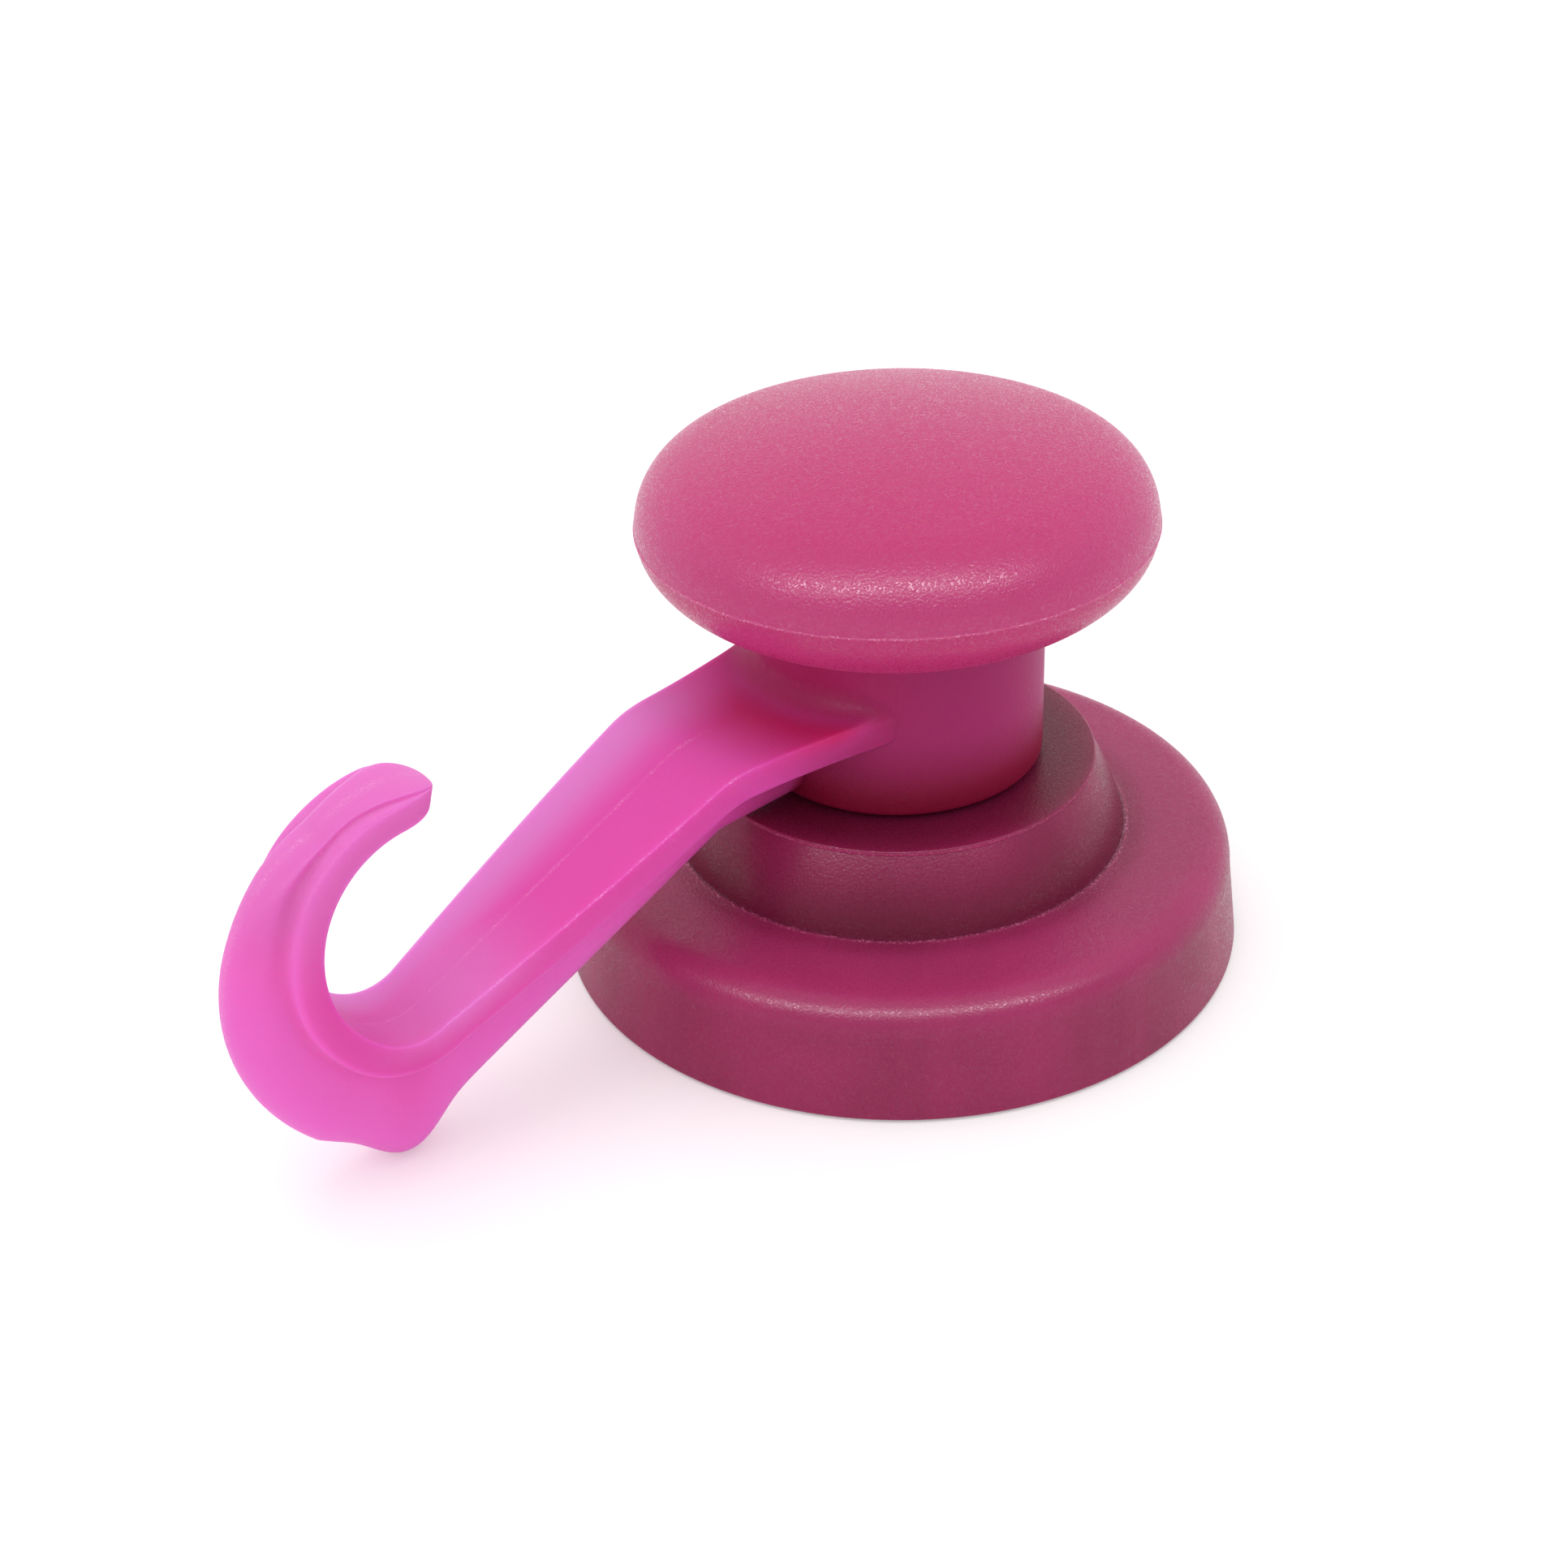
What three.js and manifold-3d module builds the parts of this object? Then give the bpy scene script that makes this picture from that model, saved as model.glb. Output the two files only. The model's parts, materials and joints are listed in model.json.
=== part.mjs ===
import * as THREE from "three";
import { mergeVertices } from "three/addons/utils/BufferGeometryUtils.js";
import Module from "manifold-3d";

const wasm = await Module();
wasm.setup();

// Swivelling magnetic hook, sizes in millimetres.
// The pad face lies in the plane z = 0, +Z points away from the wall through the knob,
// and the arm of the hook points along -X.

// Gaps between neighbouring pieces
const fitGap = 0.3;
const swivelGap = 0.4;
const edgeRound = 0.3;
const cutOverrun = 1.0;

// Housing that holds the magnet
const baseRadius = 21.0;
const baseLift = 0.1;
const wallDraft = 0.58;
const rimRound = 2.3;
const shoulderRound = 2.0;
const shoulderWall = 1.88;
const shoulderSlope = 0.08;
const bossTopRadius = 11.95;
const bossHeight = 4.84;
const bossFlare = 1.95;
const bossHollow = 0.67;
const shellWall = 1.8;
const shellRoof = 2.2;
const spindleRadius = 5.4;
const spindleWall = 2.0;
const crushRibThickness = 1.0;
const crushRibHeight = 1.3;
const crushRibCount = 8;

// Magnet pack
const padThickness = 0.6;
const padMargin = 0.6;
const magnetThickness = 3.0;
const cupWall = 1.1;
const cupPlate = 1.0;

// Screw that clamps the knob to the housing
const screwHoleRadius = 1.95;
const shankRadius = 1.45;
const screwLength = 12.0;
const screwPointLength = 2.0;
const screwHeadRadius = 3.4;
const screwHeadHeight = 1.9;
const screwHeadCrown = 0.7;
const driveWidth = 0.9;
const driveLength = 3.6;
const driveDepth = 1.1;
const washerRadius = 4.5;
const washerThickness = 0.8;

// Knob
const knobRadius = 15.17;
const knobBellyHeight = 4.8;
const knobBellyBulge = 3.3;
const knobEdgeHeight = 4.4;
const knobEdgeBulge = 3.3;
const knobEdgeWidth = 3.67;
const knobDomeHeight = 1.6;
const knobCornerInset = 0.15;
const hubInset = 0.15;
const hubHeight = 0.08;
const hubStep = 0.6;

// Collar of the hook
const collarWall = 2.95;
const collarHeight = 10.0;
const collarEdgeRound = 0.45;

// Path of the loaded face of the hook
const rootInset = 0.13;
const rootStep = 3.0;
const elbowReach = 16.04;
const elbowDrop = 0.98;
const elbowBend = 1.4;
const heelBend = 2.0;
const heelClearance = 1.24;
const bowlReach = 34.03;
const bowlHalfLength = 6.2;
const bowlHalfHeight = 6.54;
const bowlStartAngle = -56.5;
const tipAngle = 108;

// Tee section of the hook: a strip on the loaded side and a rib on the outer side
const rootHalfWidth = 6.8;
const armHalfWidth = 5.2;
const heelHalfWidth = 3.15;
const tipHalfWidth = 2.3;
const rootFlarePower = 1.6;
const armTaperPower = 1.35;
const stripThickness = 2.0;
const tipStripThickness = 1.6;
const valleyDepth = 0.25;
const ribHalfWidth = 1.9;
const tipLedge = 0.1;
const ledgeFadeAngle = 60;
const ribFillet = 0.9;

// Depth of the tee section, with a lug on the back of the heel
const elbowDepth = 6.48;
const armDepth = 6.48;
const heelDepth = 7.17;
const tipDepth = 1.9;
const slimAngle = 56;
const lugHeight = 1.95;
const lugAngle = -87;
const lugSpread = 13.5;
const tipRoundLength = 3.0;

// Numbers of facets
const wideSegments = 52;
const narrowSegments = 28;
const curveSteps = 6;
const armSteps = 4;
const heelSteps = 20;
const bowlSteps = 24;

// Heights and radii that follow, from the pad face upwards
const magnetBottom = padThickness + fitGap;
const magnetTop = magnetBottom + magnetThickness;
const plateBottom = magnetTop + fitGap;
const cupTop = plateBottom + cupPlate;
const ceilingHeight = cupTop + fitGap;
const shoulderHeight = ceilingHeight + shoulderWall;
const rimTop = shoulderHeight - shoulderSlope;
const rimStart = rimTop - rimRound;
const bossFootHeight = shoulderHeight + shoulderSlope;
const bossTopHeight = bossFootHeight + bossHeight;
const roofBottom = bossTopHeight - shellRoof;
const rimRadius = baseRadius - wallDraft;
const shoulderRadius = rimRadius - shoulderRound;
const bossFootRadius = bossTopRadius + bossFlare;
const wallInnerRadius = baseRadius - shellWall;
const ceilingInnerRadius = rimRadius - shellWall;
const cavityRadius = bossTopRadius - shellWall;
const crushRibTipRadius = ceilingInnerRadius - crushRibHeight;
const cupRadius = crushRibTipRadius - fitGap;
const cupInnerRadius = cupRadius - cupWall;
const magnetRadius = cupInnerRadius - fitGap;
const padRadius = wallInnerRadius - padMargin;

// Screw, washer and the knob's stem inside the spindle
const spindleBore = spindleRadius - spindleWall;
const stemRadius = spindleBore - fitGap;
const stemBottom = bossTopHeight + fitGap;
const pilotRadius = shankRadius + fitGap;
const washerTop = roofBottom - fitGap;
const washerBottom = washerTop - washerThickness;
const screwHeadTop = washerBottom - fitGap;
const screwHeadBottom = screwHeadTop - screwHeadHeight;
const screwTip = screwHeadTop + screwLength;
const pilotTop = screwTip + fitGap;

// Collar and knob
const collarBottom = bossTopHeight + fitGap;
const collarTop = collarBottom + collarHeight;
const collarBore = spindleRadius + swivelGap;
const collarRadius = collarBore + collarWall;
const hubBottom = collarTop + fitGap;
const hubRadius = collarRadius - hubInset;
const spindleTop = hubBottom - fitGap;
const bellyBottom = hubBottom + hubHeight;
const knobEquator = hubBottom + knobBellyHeight;
const domeFoot = knobEquator + knobEdgeHeight;
const domeRadius = knobRadius - knobEdgeWidth;
const knobTop = domeFoot + knobDomeHeight;

// Hook path, as reach from the swivel axis and height above the pad face
const armRootReach = Math.sqrt((collarRadius - rootInset) ** 2 - rootHalfWidth ** 2);
const armRootHeight = collarTop - rootStep;
const elbowHeight = armRootHeight - elbowDrop;
const bowlHeight = heelClearance + heelDepth + bowlHalfHeight;

// Width that the strip stands out beside the rib on the bowl
const bowlLedge = heelHalfWidth - ribHalfWidth;

// General helpers

const point = (across, up) => new THREE.Vector2(across, up);

const between = THREE.MathUtils.lerp;

const within = THREE.MathUtils.clamp;

function aim(degrees) {
  const angle = THREE.MathUtils.degToRad(degrees);
  return point(Math.cos(angle), Math.sin(angle));
}

function solidOf(geometry) {
  geometry.deleteAttribute("normal");
  geometry.deleteAttribute("uv");
  const merged = mergeVertices(geometry);
  const triVerts = new Uint32Array(merged.index.array);
  const vertProperties = merged.attributes.position.array;
  return new wasm.Manifold(new wasm.Mesh({ numProp: 3, vertProperties, triVerts }));
}

// Turns a profile of (radius, height) points round the Z axis.
function turned(profile, segments) {
  const geometry = new THREE.LatheGeometry(profile, segments);
  geometry.rotateX(Math.PI / 2);
  return solidOf(geometry);
}

function closed(profile) {
  return [...profile, profile[0].clone()];
}

// A curve that leaves the first point towards the corner and arrives at the last from it.
function bend(first, corner, last) {
  return new THREE.QuadraticBezierCurve(first, corner, last).getPoints(curveSteps);
}

function roundedCorner(before, corner, after, size) {
  const first = corner.clone().add(before.clone().sub(corner).setLength(size));
  const last = corner.clone().add(after.clone().sub(corner).setLength(size));
  const curve = new THREE.QuadraticBezierCurve(first, corner, last);
  return curve.getPoints(Math.ceil(curveSteps / 2));
}

function block(sizeX, sizeY, sizeZ, x, y, z) {
  const geometry = new THREE.BoxGeometry(sizeX, sizeY, sizeZ);
  geometry.translate(x, y, z);
  return solidOf(geometry);
}

function rod(radius, from, to, segments) {
  return turned([point(0, from), point(radius, from), point(radius, to), point(0, to)], segments);
}

function meshOf(name, solid, material) {
  const data = solid.getMesh();
  const geometry = new THREE.BufferGeometry();
  geometry.setAttribute("position", new THREE.BufferAttribute(data.vertProperties, 3));
  geometry.setIndex(new THREE.BufferAttribute(data.triVerts, 1));
  geometry.computeVertexNormals();
  const mesh = new THREE.Mesh(geometry, material);
  mesh.name = name;
  return mesh;
}

function finish(colour, roughness, metalness) {
  return new THREE.MeshStandardMaterial({ color: colour, roughness, metalness });
}

// Housing: outer wall, sloping shoulder, flared boss, hollow spindle and crush ribs

function shellProfile() {
  const rimFoot = point(rimRadius, rimStart);
  const rimCorner = point(rimRadius, rimTop);
  const shoulder = point(shoulderRadius, shoulderHeight);
  const bossFoot = point(bossFootRadius, bossFootHeight);
  const bossWaist = point(bossTopRadius + bossFlare / 2, bossFootHeight + bossHeight / 2 - bossHollow);
  const bossEdge = point(bossTopRadius, bossTopHeight);
  const bossSide = point(bossTopRadius, bossTopHeight - edgeRound);
  const spindleFoot = point(spindleRadius, bossTopHeight);
  const spindleEdge = point(spindleRadius, spindleTop);
  const spindleLip = point(spindleBore, spindleTop);
  const roofHole = point(screwHoleRadius, roofBottom);
  const roofCorner = point(cavityRadius, roofBottom);
  const ceilingCorner = point(ceilingInnerRadius, ceilingHeight);
  const wallFoot = point(wallInnerRadius, baseLift);
  const cavityCorner = point(cavityRadius, ceilingHeight);
  return closed([
    point(baseRadius, baseLift),
    ...bend(rimFoot, rimCorner, shoulder),
    ...bend(bossFoot, bossWaist, bossSide),
    ...roundedCorner(bossWaist, bossEdge, spindleFoot, edgeRound),
    spindleFoot,
    ...roundedCorner(spindleFoot, spindleEdge, spindleLip, edgeRound),
    spindleLip,
    point(spindleBore, bossTopHeight),
    point(screwHoleRadius, bossTopHeight),
    roofHole,
    ...roundedCorner(roofHole, roofCorner, cavityCorner, shellWall),
    cavityCorner,
    ...roundedCorner(cavityCorner, ceilingCorner, wallFoot, edgeRound),
    wallFoot,
  ]);
}

function crushRib(turn) {
  const length = wallInnerRadius - crushRibTipRadius + edgeRound;
  const height = ceilingHeight - magnetBottom + edgeRound;
  const reach = crushRibTipRadius + length / 2;
  const rib = block(length, crushRibThickness, height, reach, 0, magnetBottom + height / 2);
  return rib.rotate([0, 0, turn]);
}

function baseShell() {
  let shell = turned(shellProfile(), wideSegments);
  for (let index = 0; index < crushRibCount; index += 1) {
    shell = shell.add(crushRib((360 / crushRibCount) * (index + 1 / 2)));
  }
  return shell;
}

// Magnet pack: face pad, disc and steel cup

function facePad() {
  const edge = point(padRadius, padThickness);
  const foot = point(padRadius, 0);
  const middle = point(0, padThickness);
  return turned([
    point(0, 0),
    foot,
    ...roundedCorner(foot, edge, middle, padThickness / 2),
    middle,
  ], wideSegments);
}

function magnetDisc() {
  const foot = point(magnetRadius, magnetBottom);
  const edge = point(magnetRadius, magnetTop);
  const bottomMiddle = point(0, magnetBottom);
  const topMiddle = point(0, magnetTop);
  return turned([
    bottomMiddle,
    ...roundedCorner(bottomMiddle, foot, edge, edgeRound),
    ...roundedCorner(foot, edge, topMiddle, edgeRound),
    topMiddle,
  ], narrowSegments);
}

function backingCup() {
  const rim = point(cupRadius, magnetBottom);
  const corner = point(cupRadius, cupTop);
  const innerCorner = point(cupInnerRadius, plateBottom);
  const innerRim = point(cupInnerRadius, magnetBottom);
  const topMiddle = point(0, cupTop);
  const plateMiddle = point(0, plateBottom);
  return turned([
    plateMiddle,
    innerCorner,
    innerRim,
    rim,
    ...roundedCorner(rim, corner, topMiddle, cupWall),
    topMiddle,
  ], narrowSegments);
}

// Clamping screw with its washer

function centreScrew() {
  const headEdge = point(screwHeadRadius, screwHeadTop);
  const crown = bend(
    point(0, screwHeadBottom),
    point(screwHeadRadius, screwHeadBottom),
    point(screwHeadRadius, screwHeadBottom + screwHeadCrown),
  );
  const body = turned([
    ...crown,
    headEdge,
    point(shankRadius, screwHeadTop),
    point(shankRadius, screwTip - screwPointLength),
    point(0, screwTip),
  ], narrowSegments);
  const slotHeight = driveDepth + cutOverrun;
  const slotMiddle = screwHeadBottom + driveDepth - slotHeight / 2;
  const slot = block(driveLength, driveWidth, slotHeight, 0, 0, slotMiddle);
  return body.subtract(slot).subtract(slot.rotate([0, 0, 90]));
}

function screwWasher() {
  const outer = point(washerRadius, washerTop);
  const lower = point(washerRadius, washerBottom);
  const inner = point(screwHoleRadius, washerTop);
  return turned(closed([
    point(screwHoleRadius, washerBottom),
    lower,
    ...roundedCorner(lower, outer, inner, edgeRound),
    inner,
  ]), narrowSegments);
}

// Knob: domed crown, rounded edge, belly, hub and stem with a pilot hole

function domeArc() {
  const radius = (domeRadius ** 2 + knobDomeHeight ** 2) / (2 * knobDomeHeight);
  const spread = Math.asin(domeRadius / radius);
  const points = [];
  for (let index = 1; index < curveSteps; index += 1) {
    const angle = spread * (1 - index / curveSteps);
    points.push(point(radius * Math.sin(angle), knobTop - radius * (1 - Math.cos(angle))));
  }
  return points;
}

function knob() {
  const widest = point(knobRadius, knobEquator);
  const bellyFoot = point(hubRadius + hubStep, bellyBottom);
  const bellyCorner = point(knobRadius - 2 * knobCornerInset, knobEquator - knobBellyBulge);
  const edgeCorner = point(knobRadius - knobCornerInset, knobEquator + knobEdgeBulge);
  const stemTop = point(stemRadius, hubBottom);
  const stemFoot = point(stemRadius, stemBottom);
  const stemMiddle = point(pilotRadius, stemBottom);
  return turned([
    point(0, pilotTop),
    point(pilotRadius, pilotTop - pilotRadius),
    stemMiddle,
    ...roundedCorner(stemMiddle, stemFoot, stemTop, edgeRound),
    stemTop,
    point(hubRadius, hubBottom),
    ...bend(bellyFoot, bellyCorner, widest),
    ...bend(widest, edgeCorner, point(domeRadius, domeFoot)).slice(1),
    ...domeArc(),
    point(0, knobTop),
  ], wideSegments);
}

// Hook: a collar with a tee-section arm that ends in a round bowl

function ease(share) {
  const held = within(share, 0, 1);
  return held * held * (3 - 2 * held);
}

function halfWidthAt(reach) {
  if (reach < elbowReach) {
    const share = (elbowReach - reach) / (elbowReach - armRootReach);
    return between(armHalfWidth, rootHalfWidth, share ** rootFlarePower);
  }
  const share = Math.min((reach - elbowReach) / (bowlReach - elbowReach), 1);
  return between(armHalfWidth, heelHalfWidth, share ** armTaperPower);
}

// Depth from the loaded face to the crest of the rib on the arm, by reach.
function armDepthAt(reach) {
  const share = (reach - elbowReach) / (bowlReach - elbowReach);
  return between(elbowDepth, armDepth, within(share, 0, 1));
}

// Direction of depth beside a path that runs along the given direction.
const beside = (along) => point(along.y, -along.x);

const degreesOf = (direction) => THREE.MathUtils.radToDeg(Math.atan2(direction.y, direction.x));

function armDepthAngle() {
  return degreesOf(beside(heelCorner().sub(point(elbowReach, elbowHeight))));
}

// Share of the way from the start of the bowl to where the hook is slimmest.
function slimShare(degrees) {
  return within((degrees - bowlStartAngle) / (slimAngle - bowlStartAngle), 0, 1);
}

// The same depth round the heel and the bowl, by the direction it is measured in.
function bowlDepthAt(degrees) {
  const lug = lugHeight * Math.exp(-(((degrees - lugAngle) / lugSpread) ** 2));
  if (degrees < bowlStartAngle) {
    const riseAngle = armDepthAngle();
    const share = (degrees - riseAngle) / (bowlStartAngle - riseAngle);
    return between(armDepth, heelDepth, ease(share)) + lug;
  }
  return between(heelDepth, tipDepth, slimShare(degrees)) + lug;
}

// Share of the way round the bowl, from its start to the tip.
function bowlShare(degrees) {
  return within((degrees - bowlStartAngle) / (tipAngle - bowlStartAngle), 0, 1);
}

// The loaded face of the bowl follows an ellipse.
function bowlPoint(degrees) {
  const around = aim(degrees);
  return point(bowlReach + bowlHalfLength * around.x, bowlHeight + bowlHalfHeight * around.y);
}

// Where the straight arm, carried on, meets the line that touches the bowl at its start.
function heelCorner() {
  return bowlPoint(bowlStartAngle).addScaledVector(aim(bowlStartAngle + 90), -heelBend);
}

// Lines and bends of the loaded face from the root to the start of the bowl.
function armPath() {
  const root = point(armRootReach, armRootHeight);
  const elbow = point(elbowReach, elbowHeight);
  const heel = heelCorner();
  const elbowStart = elbow.clone().add(root.clone().sub(elbow).setLength(elbowBend));
  const elbowEnd = elbow.clone().add(heel.clone().sub(elbow).setLength(elbowBend));
  const heelStart = heel.clone().add(elbow.clone().sub(heel).setLength(heelBend));
  return {
    arm: [
      new THREE.LineCurve(root, elbowStart),
      new THREE.QuadraticBezierCurve(elbowStart, elbow, elbowEnd),
      new THREE.LineCurve(elbowEnd, heelStart),
    ],
    heelCurve: new THREE.QuadraticBezierCurve(heelStart, heel, bowlPoint(bowlStartAngle)),
  };
}

// A station: a point on the loaded face, the direction of depth there, and its own sizes.
function stationOn(curve, share, depthOf) {
  const spot = curve.getPoint(share);
  const direction = beside(curve.getTangent(share));
  return {
    spot,
    direction,
    halfWidth: halfWidthAt(spot.x),
    ribHalf: ribHalfWidth,
    depth: depthOf(spot, direction),
    strip: stripThickness,
    valley: valleyDepth,
    shrink: 1,
  };
}

function armStations() {
  const { arm, heelCurve } = armPath();
  const stations = [];
  arm.forEach((curve) => {
    for (let index = 0; index < armSteps; index += 1) {
      stations.push(stationOn(curve, index / armSteps, (spot) => armDepthAt(spot.x)));
    }
  });
  const heelDepthAt = (spot, direction) => bowlDepthAt(degreesOf(direction));
  for (let index = 0; index < heelSteps; index += 1) {
    stations.push(stationOn(heelCurve, index / heelSteps, heelDepthAt));
  }
  return stations;
}

function bowlStation(degrees, shrink) {
  const halfWidth = between(heelHalfWidth, tipHalfWidth, bowlShare(degrees));
  const fade = (degrees - ledgeFadeAngle) / (tipAngle - ledgeFadeAngle);
  const slim = slimShare(degrees);
  return {
    spot: bowlPoint(degrees),
    direction: aim(degrees),
    halfWidth,
    ribHalf: halfWidth - between(bowlLedge, tipLedge, ease(fade)),
    depth: bowlDepthAt(degrees),
    strip: between(stripThickness, tipStripThickness, slim),
    valley: between(valleyDepth, 0, slim),
    shrink,
  };
}

// Round the bowl, up to where the tip starts to round off.
function bowlStations(roundStart) {
  const stations = [];
  for (let index = 0; index < bowlSteps; index += 1) {
    stations.push(bowlStation(between(bowlStartAngle, roundStart, index / bowlSteps), 1));
  }
  return stations;
}

function tipStations(roundStart) {
  const stations = [];
  for (let index = 0; index <= curveSteps; index += 1) {
    const turn = (Math.PI / 2) * (index / (curveSteps + 1 / 4));
    stations.push(bowlStation(between(roundStart, tipAngle, Math.sin(turn)), Math.cos(turn)));
  }
  return stations;
}

// Half of the tee section as (across, down) pairs, from the middle of the loaded face to the crest.
function halfSection({ halfWidth, ribHalf, depth, strip, valley }) {
  const ribHeight = Math.max(depth - strip, edgeRound);
  const ledge = halfWidth - ribHalf;
  const lowRound = Math.min(edgeRound, ledge / 3);
  const fillet = Math.min(ribFillet, ribHeight / 2, ledge / 2);
  const crest = Math.min(ribHalf, ribHeight - fillet);
  const edge = point(halfWidth, 0);
  const lowEdge = point(halfWidth, strip);
  const ribRoot = point(ribHalf, strip);
  const points = [
    point(0, valley),
    ...roundedCorner(point(0, 0), edge, lowEdge, edgeRound),
    ...roundedCorner(edge, lowEdge, ribRoot, lowRound),
    ...roundedCorner(lowEdge, ribRoot, point(ribHalf, depth), fillet),
  ];
  for (let index = 1; index <= curveSteps; index += 1) {
    const angle = (Math.PI / 2) * (index / curveSteps);
    const drop = crest * (1 - Math.sin(angle));
    points.push(point(ribHalf * Math.cos(angle), strip + ribHeight - drop));
  }
  return points;
}

// The whole outline, from a half section.
function mirrored(half) {
  return [...half, ...half.slice(1, -1).reverse().map((spot) => point(-spot.x, spot.y))];
}

// The outline set at its station, shrunk evenly towards its middle over the tip.
function sectionOf(station) {
  const { spot, direction, depth, shrink } = station;
  const middle = depth / 2;
  return mirrored(halfSection(station)).map((corner) => {
    const down = middle + (corner.y - middle) * Math.sqrt(shrink);
    const place = spot.clone().addScaledVector(direction, down);
    return new THREE.Vector3(-place.x, corner.x * shrink, place.y);
  });
}

// Skins a list of equal rings and closes both ends.
function lofted(rings, outline) {
  const count = outline.length;
  const positions = rings.flat().flatMap((spot) => [spot.x, spot.y, spot.z]);
  const faces = [];
  for (let ring = 0; ring + 1 < rings.length; ring += 1) {
    for (let side = 0; side < count; side += 1) {
      const next = (side + 1) % count;
      const here = ring * count;
      const there = here + count;
      faces.push(here + side, here + next, there + next);
      faces.push(here + side, there + next, there + side);
    }
  }
  const last = (rings.length - 1) * count;
  THREE.ShapeUtils.triangulateShape(outline, []).forEach(([a, b, c]) => {
    faces.push(a, c, b);
    faces.push(last + a, last + b, last + c);
  });
  const geometry = new THREE.BufferGeometry();
  geometry.setAttribute("position", new THREE.Float32BufferAttribute(positions, 3));
  geometry.setIndex(faces);
  return solidOf(geometry);
}

function hookArm() {
  const roundTurn = THREE.MathUtils.radToDeg(tipRoundLength / (bowlHalfHeight + tipDepth / 2));
  const roundStart = tipAngle - roundTurn;
  const stations = [...armStations(), ...bowlStations(roundStart), ...tipStations(roundStart)];
  return lofted(stations.map(sectionOf), mirrored(halfSection(stations[0])));
}

function hook() {
  const foot = point(collarRadius, collarBottom);
  const top = point(collarRadius, collarTop);
  const bottomMiddle = point(0, collarBottom);
  const topMiddle = point(0, collarTop);
  const collar = turned([
    bottomMiddle,
    ...roundedCorner(bottomMiddle, foot, top, collarEdgeRound),
    ...roundedCorner(foot, top, topMiddle, edgeRound),
    topMiddle,
  ], wideSegments);
  const bore = rod(collarBore, collarBottom - cutOverrun, collarTop + cutOverrun, narrowSegments);
  return collar.add(hookArm()).subtract(bore);
}

// Assembly

const knobPlastic = finish("#c8407a", 0.5, 0);
const housingPlastic = finish("#93305a", 0.5, 0);
const hookPlastic = finish("#dc58b0", 0.48, 0);
const vinyl = finish("#2a2a2c", 0.85, 0);
const ferrite = finish("#3a3a3d", 0.7, 0.1);
const zincSteel = finish("#b9bcc0", 0.35, 1);

const part = new THREE.Group();
part.name = "magnetic_hook";
part.add(meshOf("base_shell", baseShell(), housingPlastic));
part.add(meshOf("face_pad", facePad(), vinyl));
part.add(meshOf("magnet_disc", magnetDisc(), ferrite));
part.add(meshOf("backing_cup", backingCup(), zincSteel));
part.add(meshOf("centre_screw", centreScrew(), zincSteel));
part.add(meshOf("screw_washer", screwWasher(), zincSteel));
part.add(meshOf("knob", knob(), knobPlastic));
part.add(meshOf("hook", hook(), hookPlastic));

export default part;
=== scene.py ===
# %% [markdown]
# # A swivelling magnetic hook, dressed for a photograph
# The object is a round magnet housing, a hook that turns on the housing's spindle, and a
# knob that is screwed onto the spindle and keeps the hook in place. All three are moulded
# in pink, slightly translucent polypropylene. The CAD model gives the places and sizes.
# This script makes the surfaces finer, and gives each of them the finish of a moulding.

# %% Loading the frame
import json
import math

import bmesh
import bpy
import numpy as np
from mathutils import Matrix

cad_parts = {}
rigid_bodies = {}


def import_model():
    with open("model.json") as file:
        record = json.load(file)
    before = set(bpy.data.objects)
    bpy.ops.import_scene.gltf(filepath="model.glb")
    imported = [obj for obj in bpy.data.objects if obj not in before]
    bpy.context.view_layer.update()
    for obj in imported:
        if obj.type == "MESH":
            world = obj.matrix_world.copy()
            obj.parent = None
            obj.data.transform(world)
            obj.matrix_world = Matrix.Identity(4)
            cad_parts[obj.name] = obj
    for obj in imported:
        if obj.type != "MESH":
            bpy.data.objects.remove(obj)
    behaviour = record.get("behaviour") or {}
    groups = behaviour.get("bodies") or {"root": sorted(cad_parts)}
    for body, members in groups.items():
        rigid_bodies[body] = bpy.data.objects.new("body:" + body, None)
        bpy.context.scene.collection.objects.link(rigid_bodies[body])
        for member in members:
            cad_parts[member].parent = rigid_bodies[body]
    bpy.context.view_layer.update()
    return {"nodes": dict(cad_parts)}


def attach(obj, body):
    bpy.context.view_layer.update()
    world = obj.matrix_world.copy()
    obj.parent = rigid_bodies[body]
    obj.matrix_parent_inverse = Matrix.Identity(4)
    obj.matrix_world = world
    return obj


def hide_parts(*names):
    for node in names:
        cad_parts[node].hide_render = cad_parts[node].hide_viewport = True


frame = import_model()

# %% [markdown]
# ## From arrays to meshes
# A moulded piece could be pushed into shape by hand. Here each one is a grid of points
# worked out as one array, because a formula gives the same smooth shape on every run, and
# its sizes can be read off. The helpers fill a Blender mesh from arrays, turn its faces
# round if they point inwards, and number the faces of a grid and of its two closed ends.

# %% Mesh helpers
MILLIMETRE = 0.001
SHARP_ANGLE = math.radians(38)


def enclosed_volume(points, triangles):
    """Volume inside a closed surface: a sixth of the sum of a . (b x c) over its triangles."""
    a, b, c = (points[triangles[:, k]] for k in range(3))
    return float(np.einsum("ij,ij->", a, np.cross(b, c))) / 6


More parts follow.
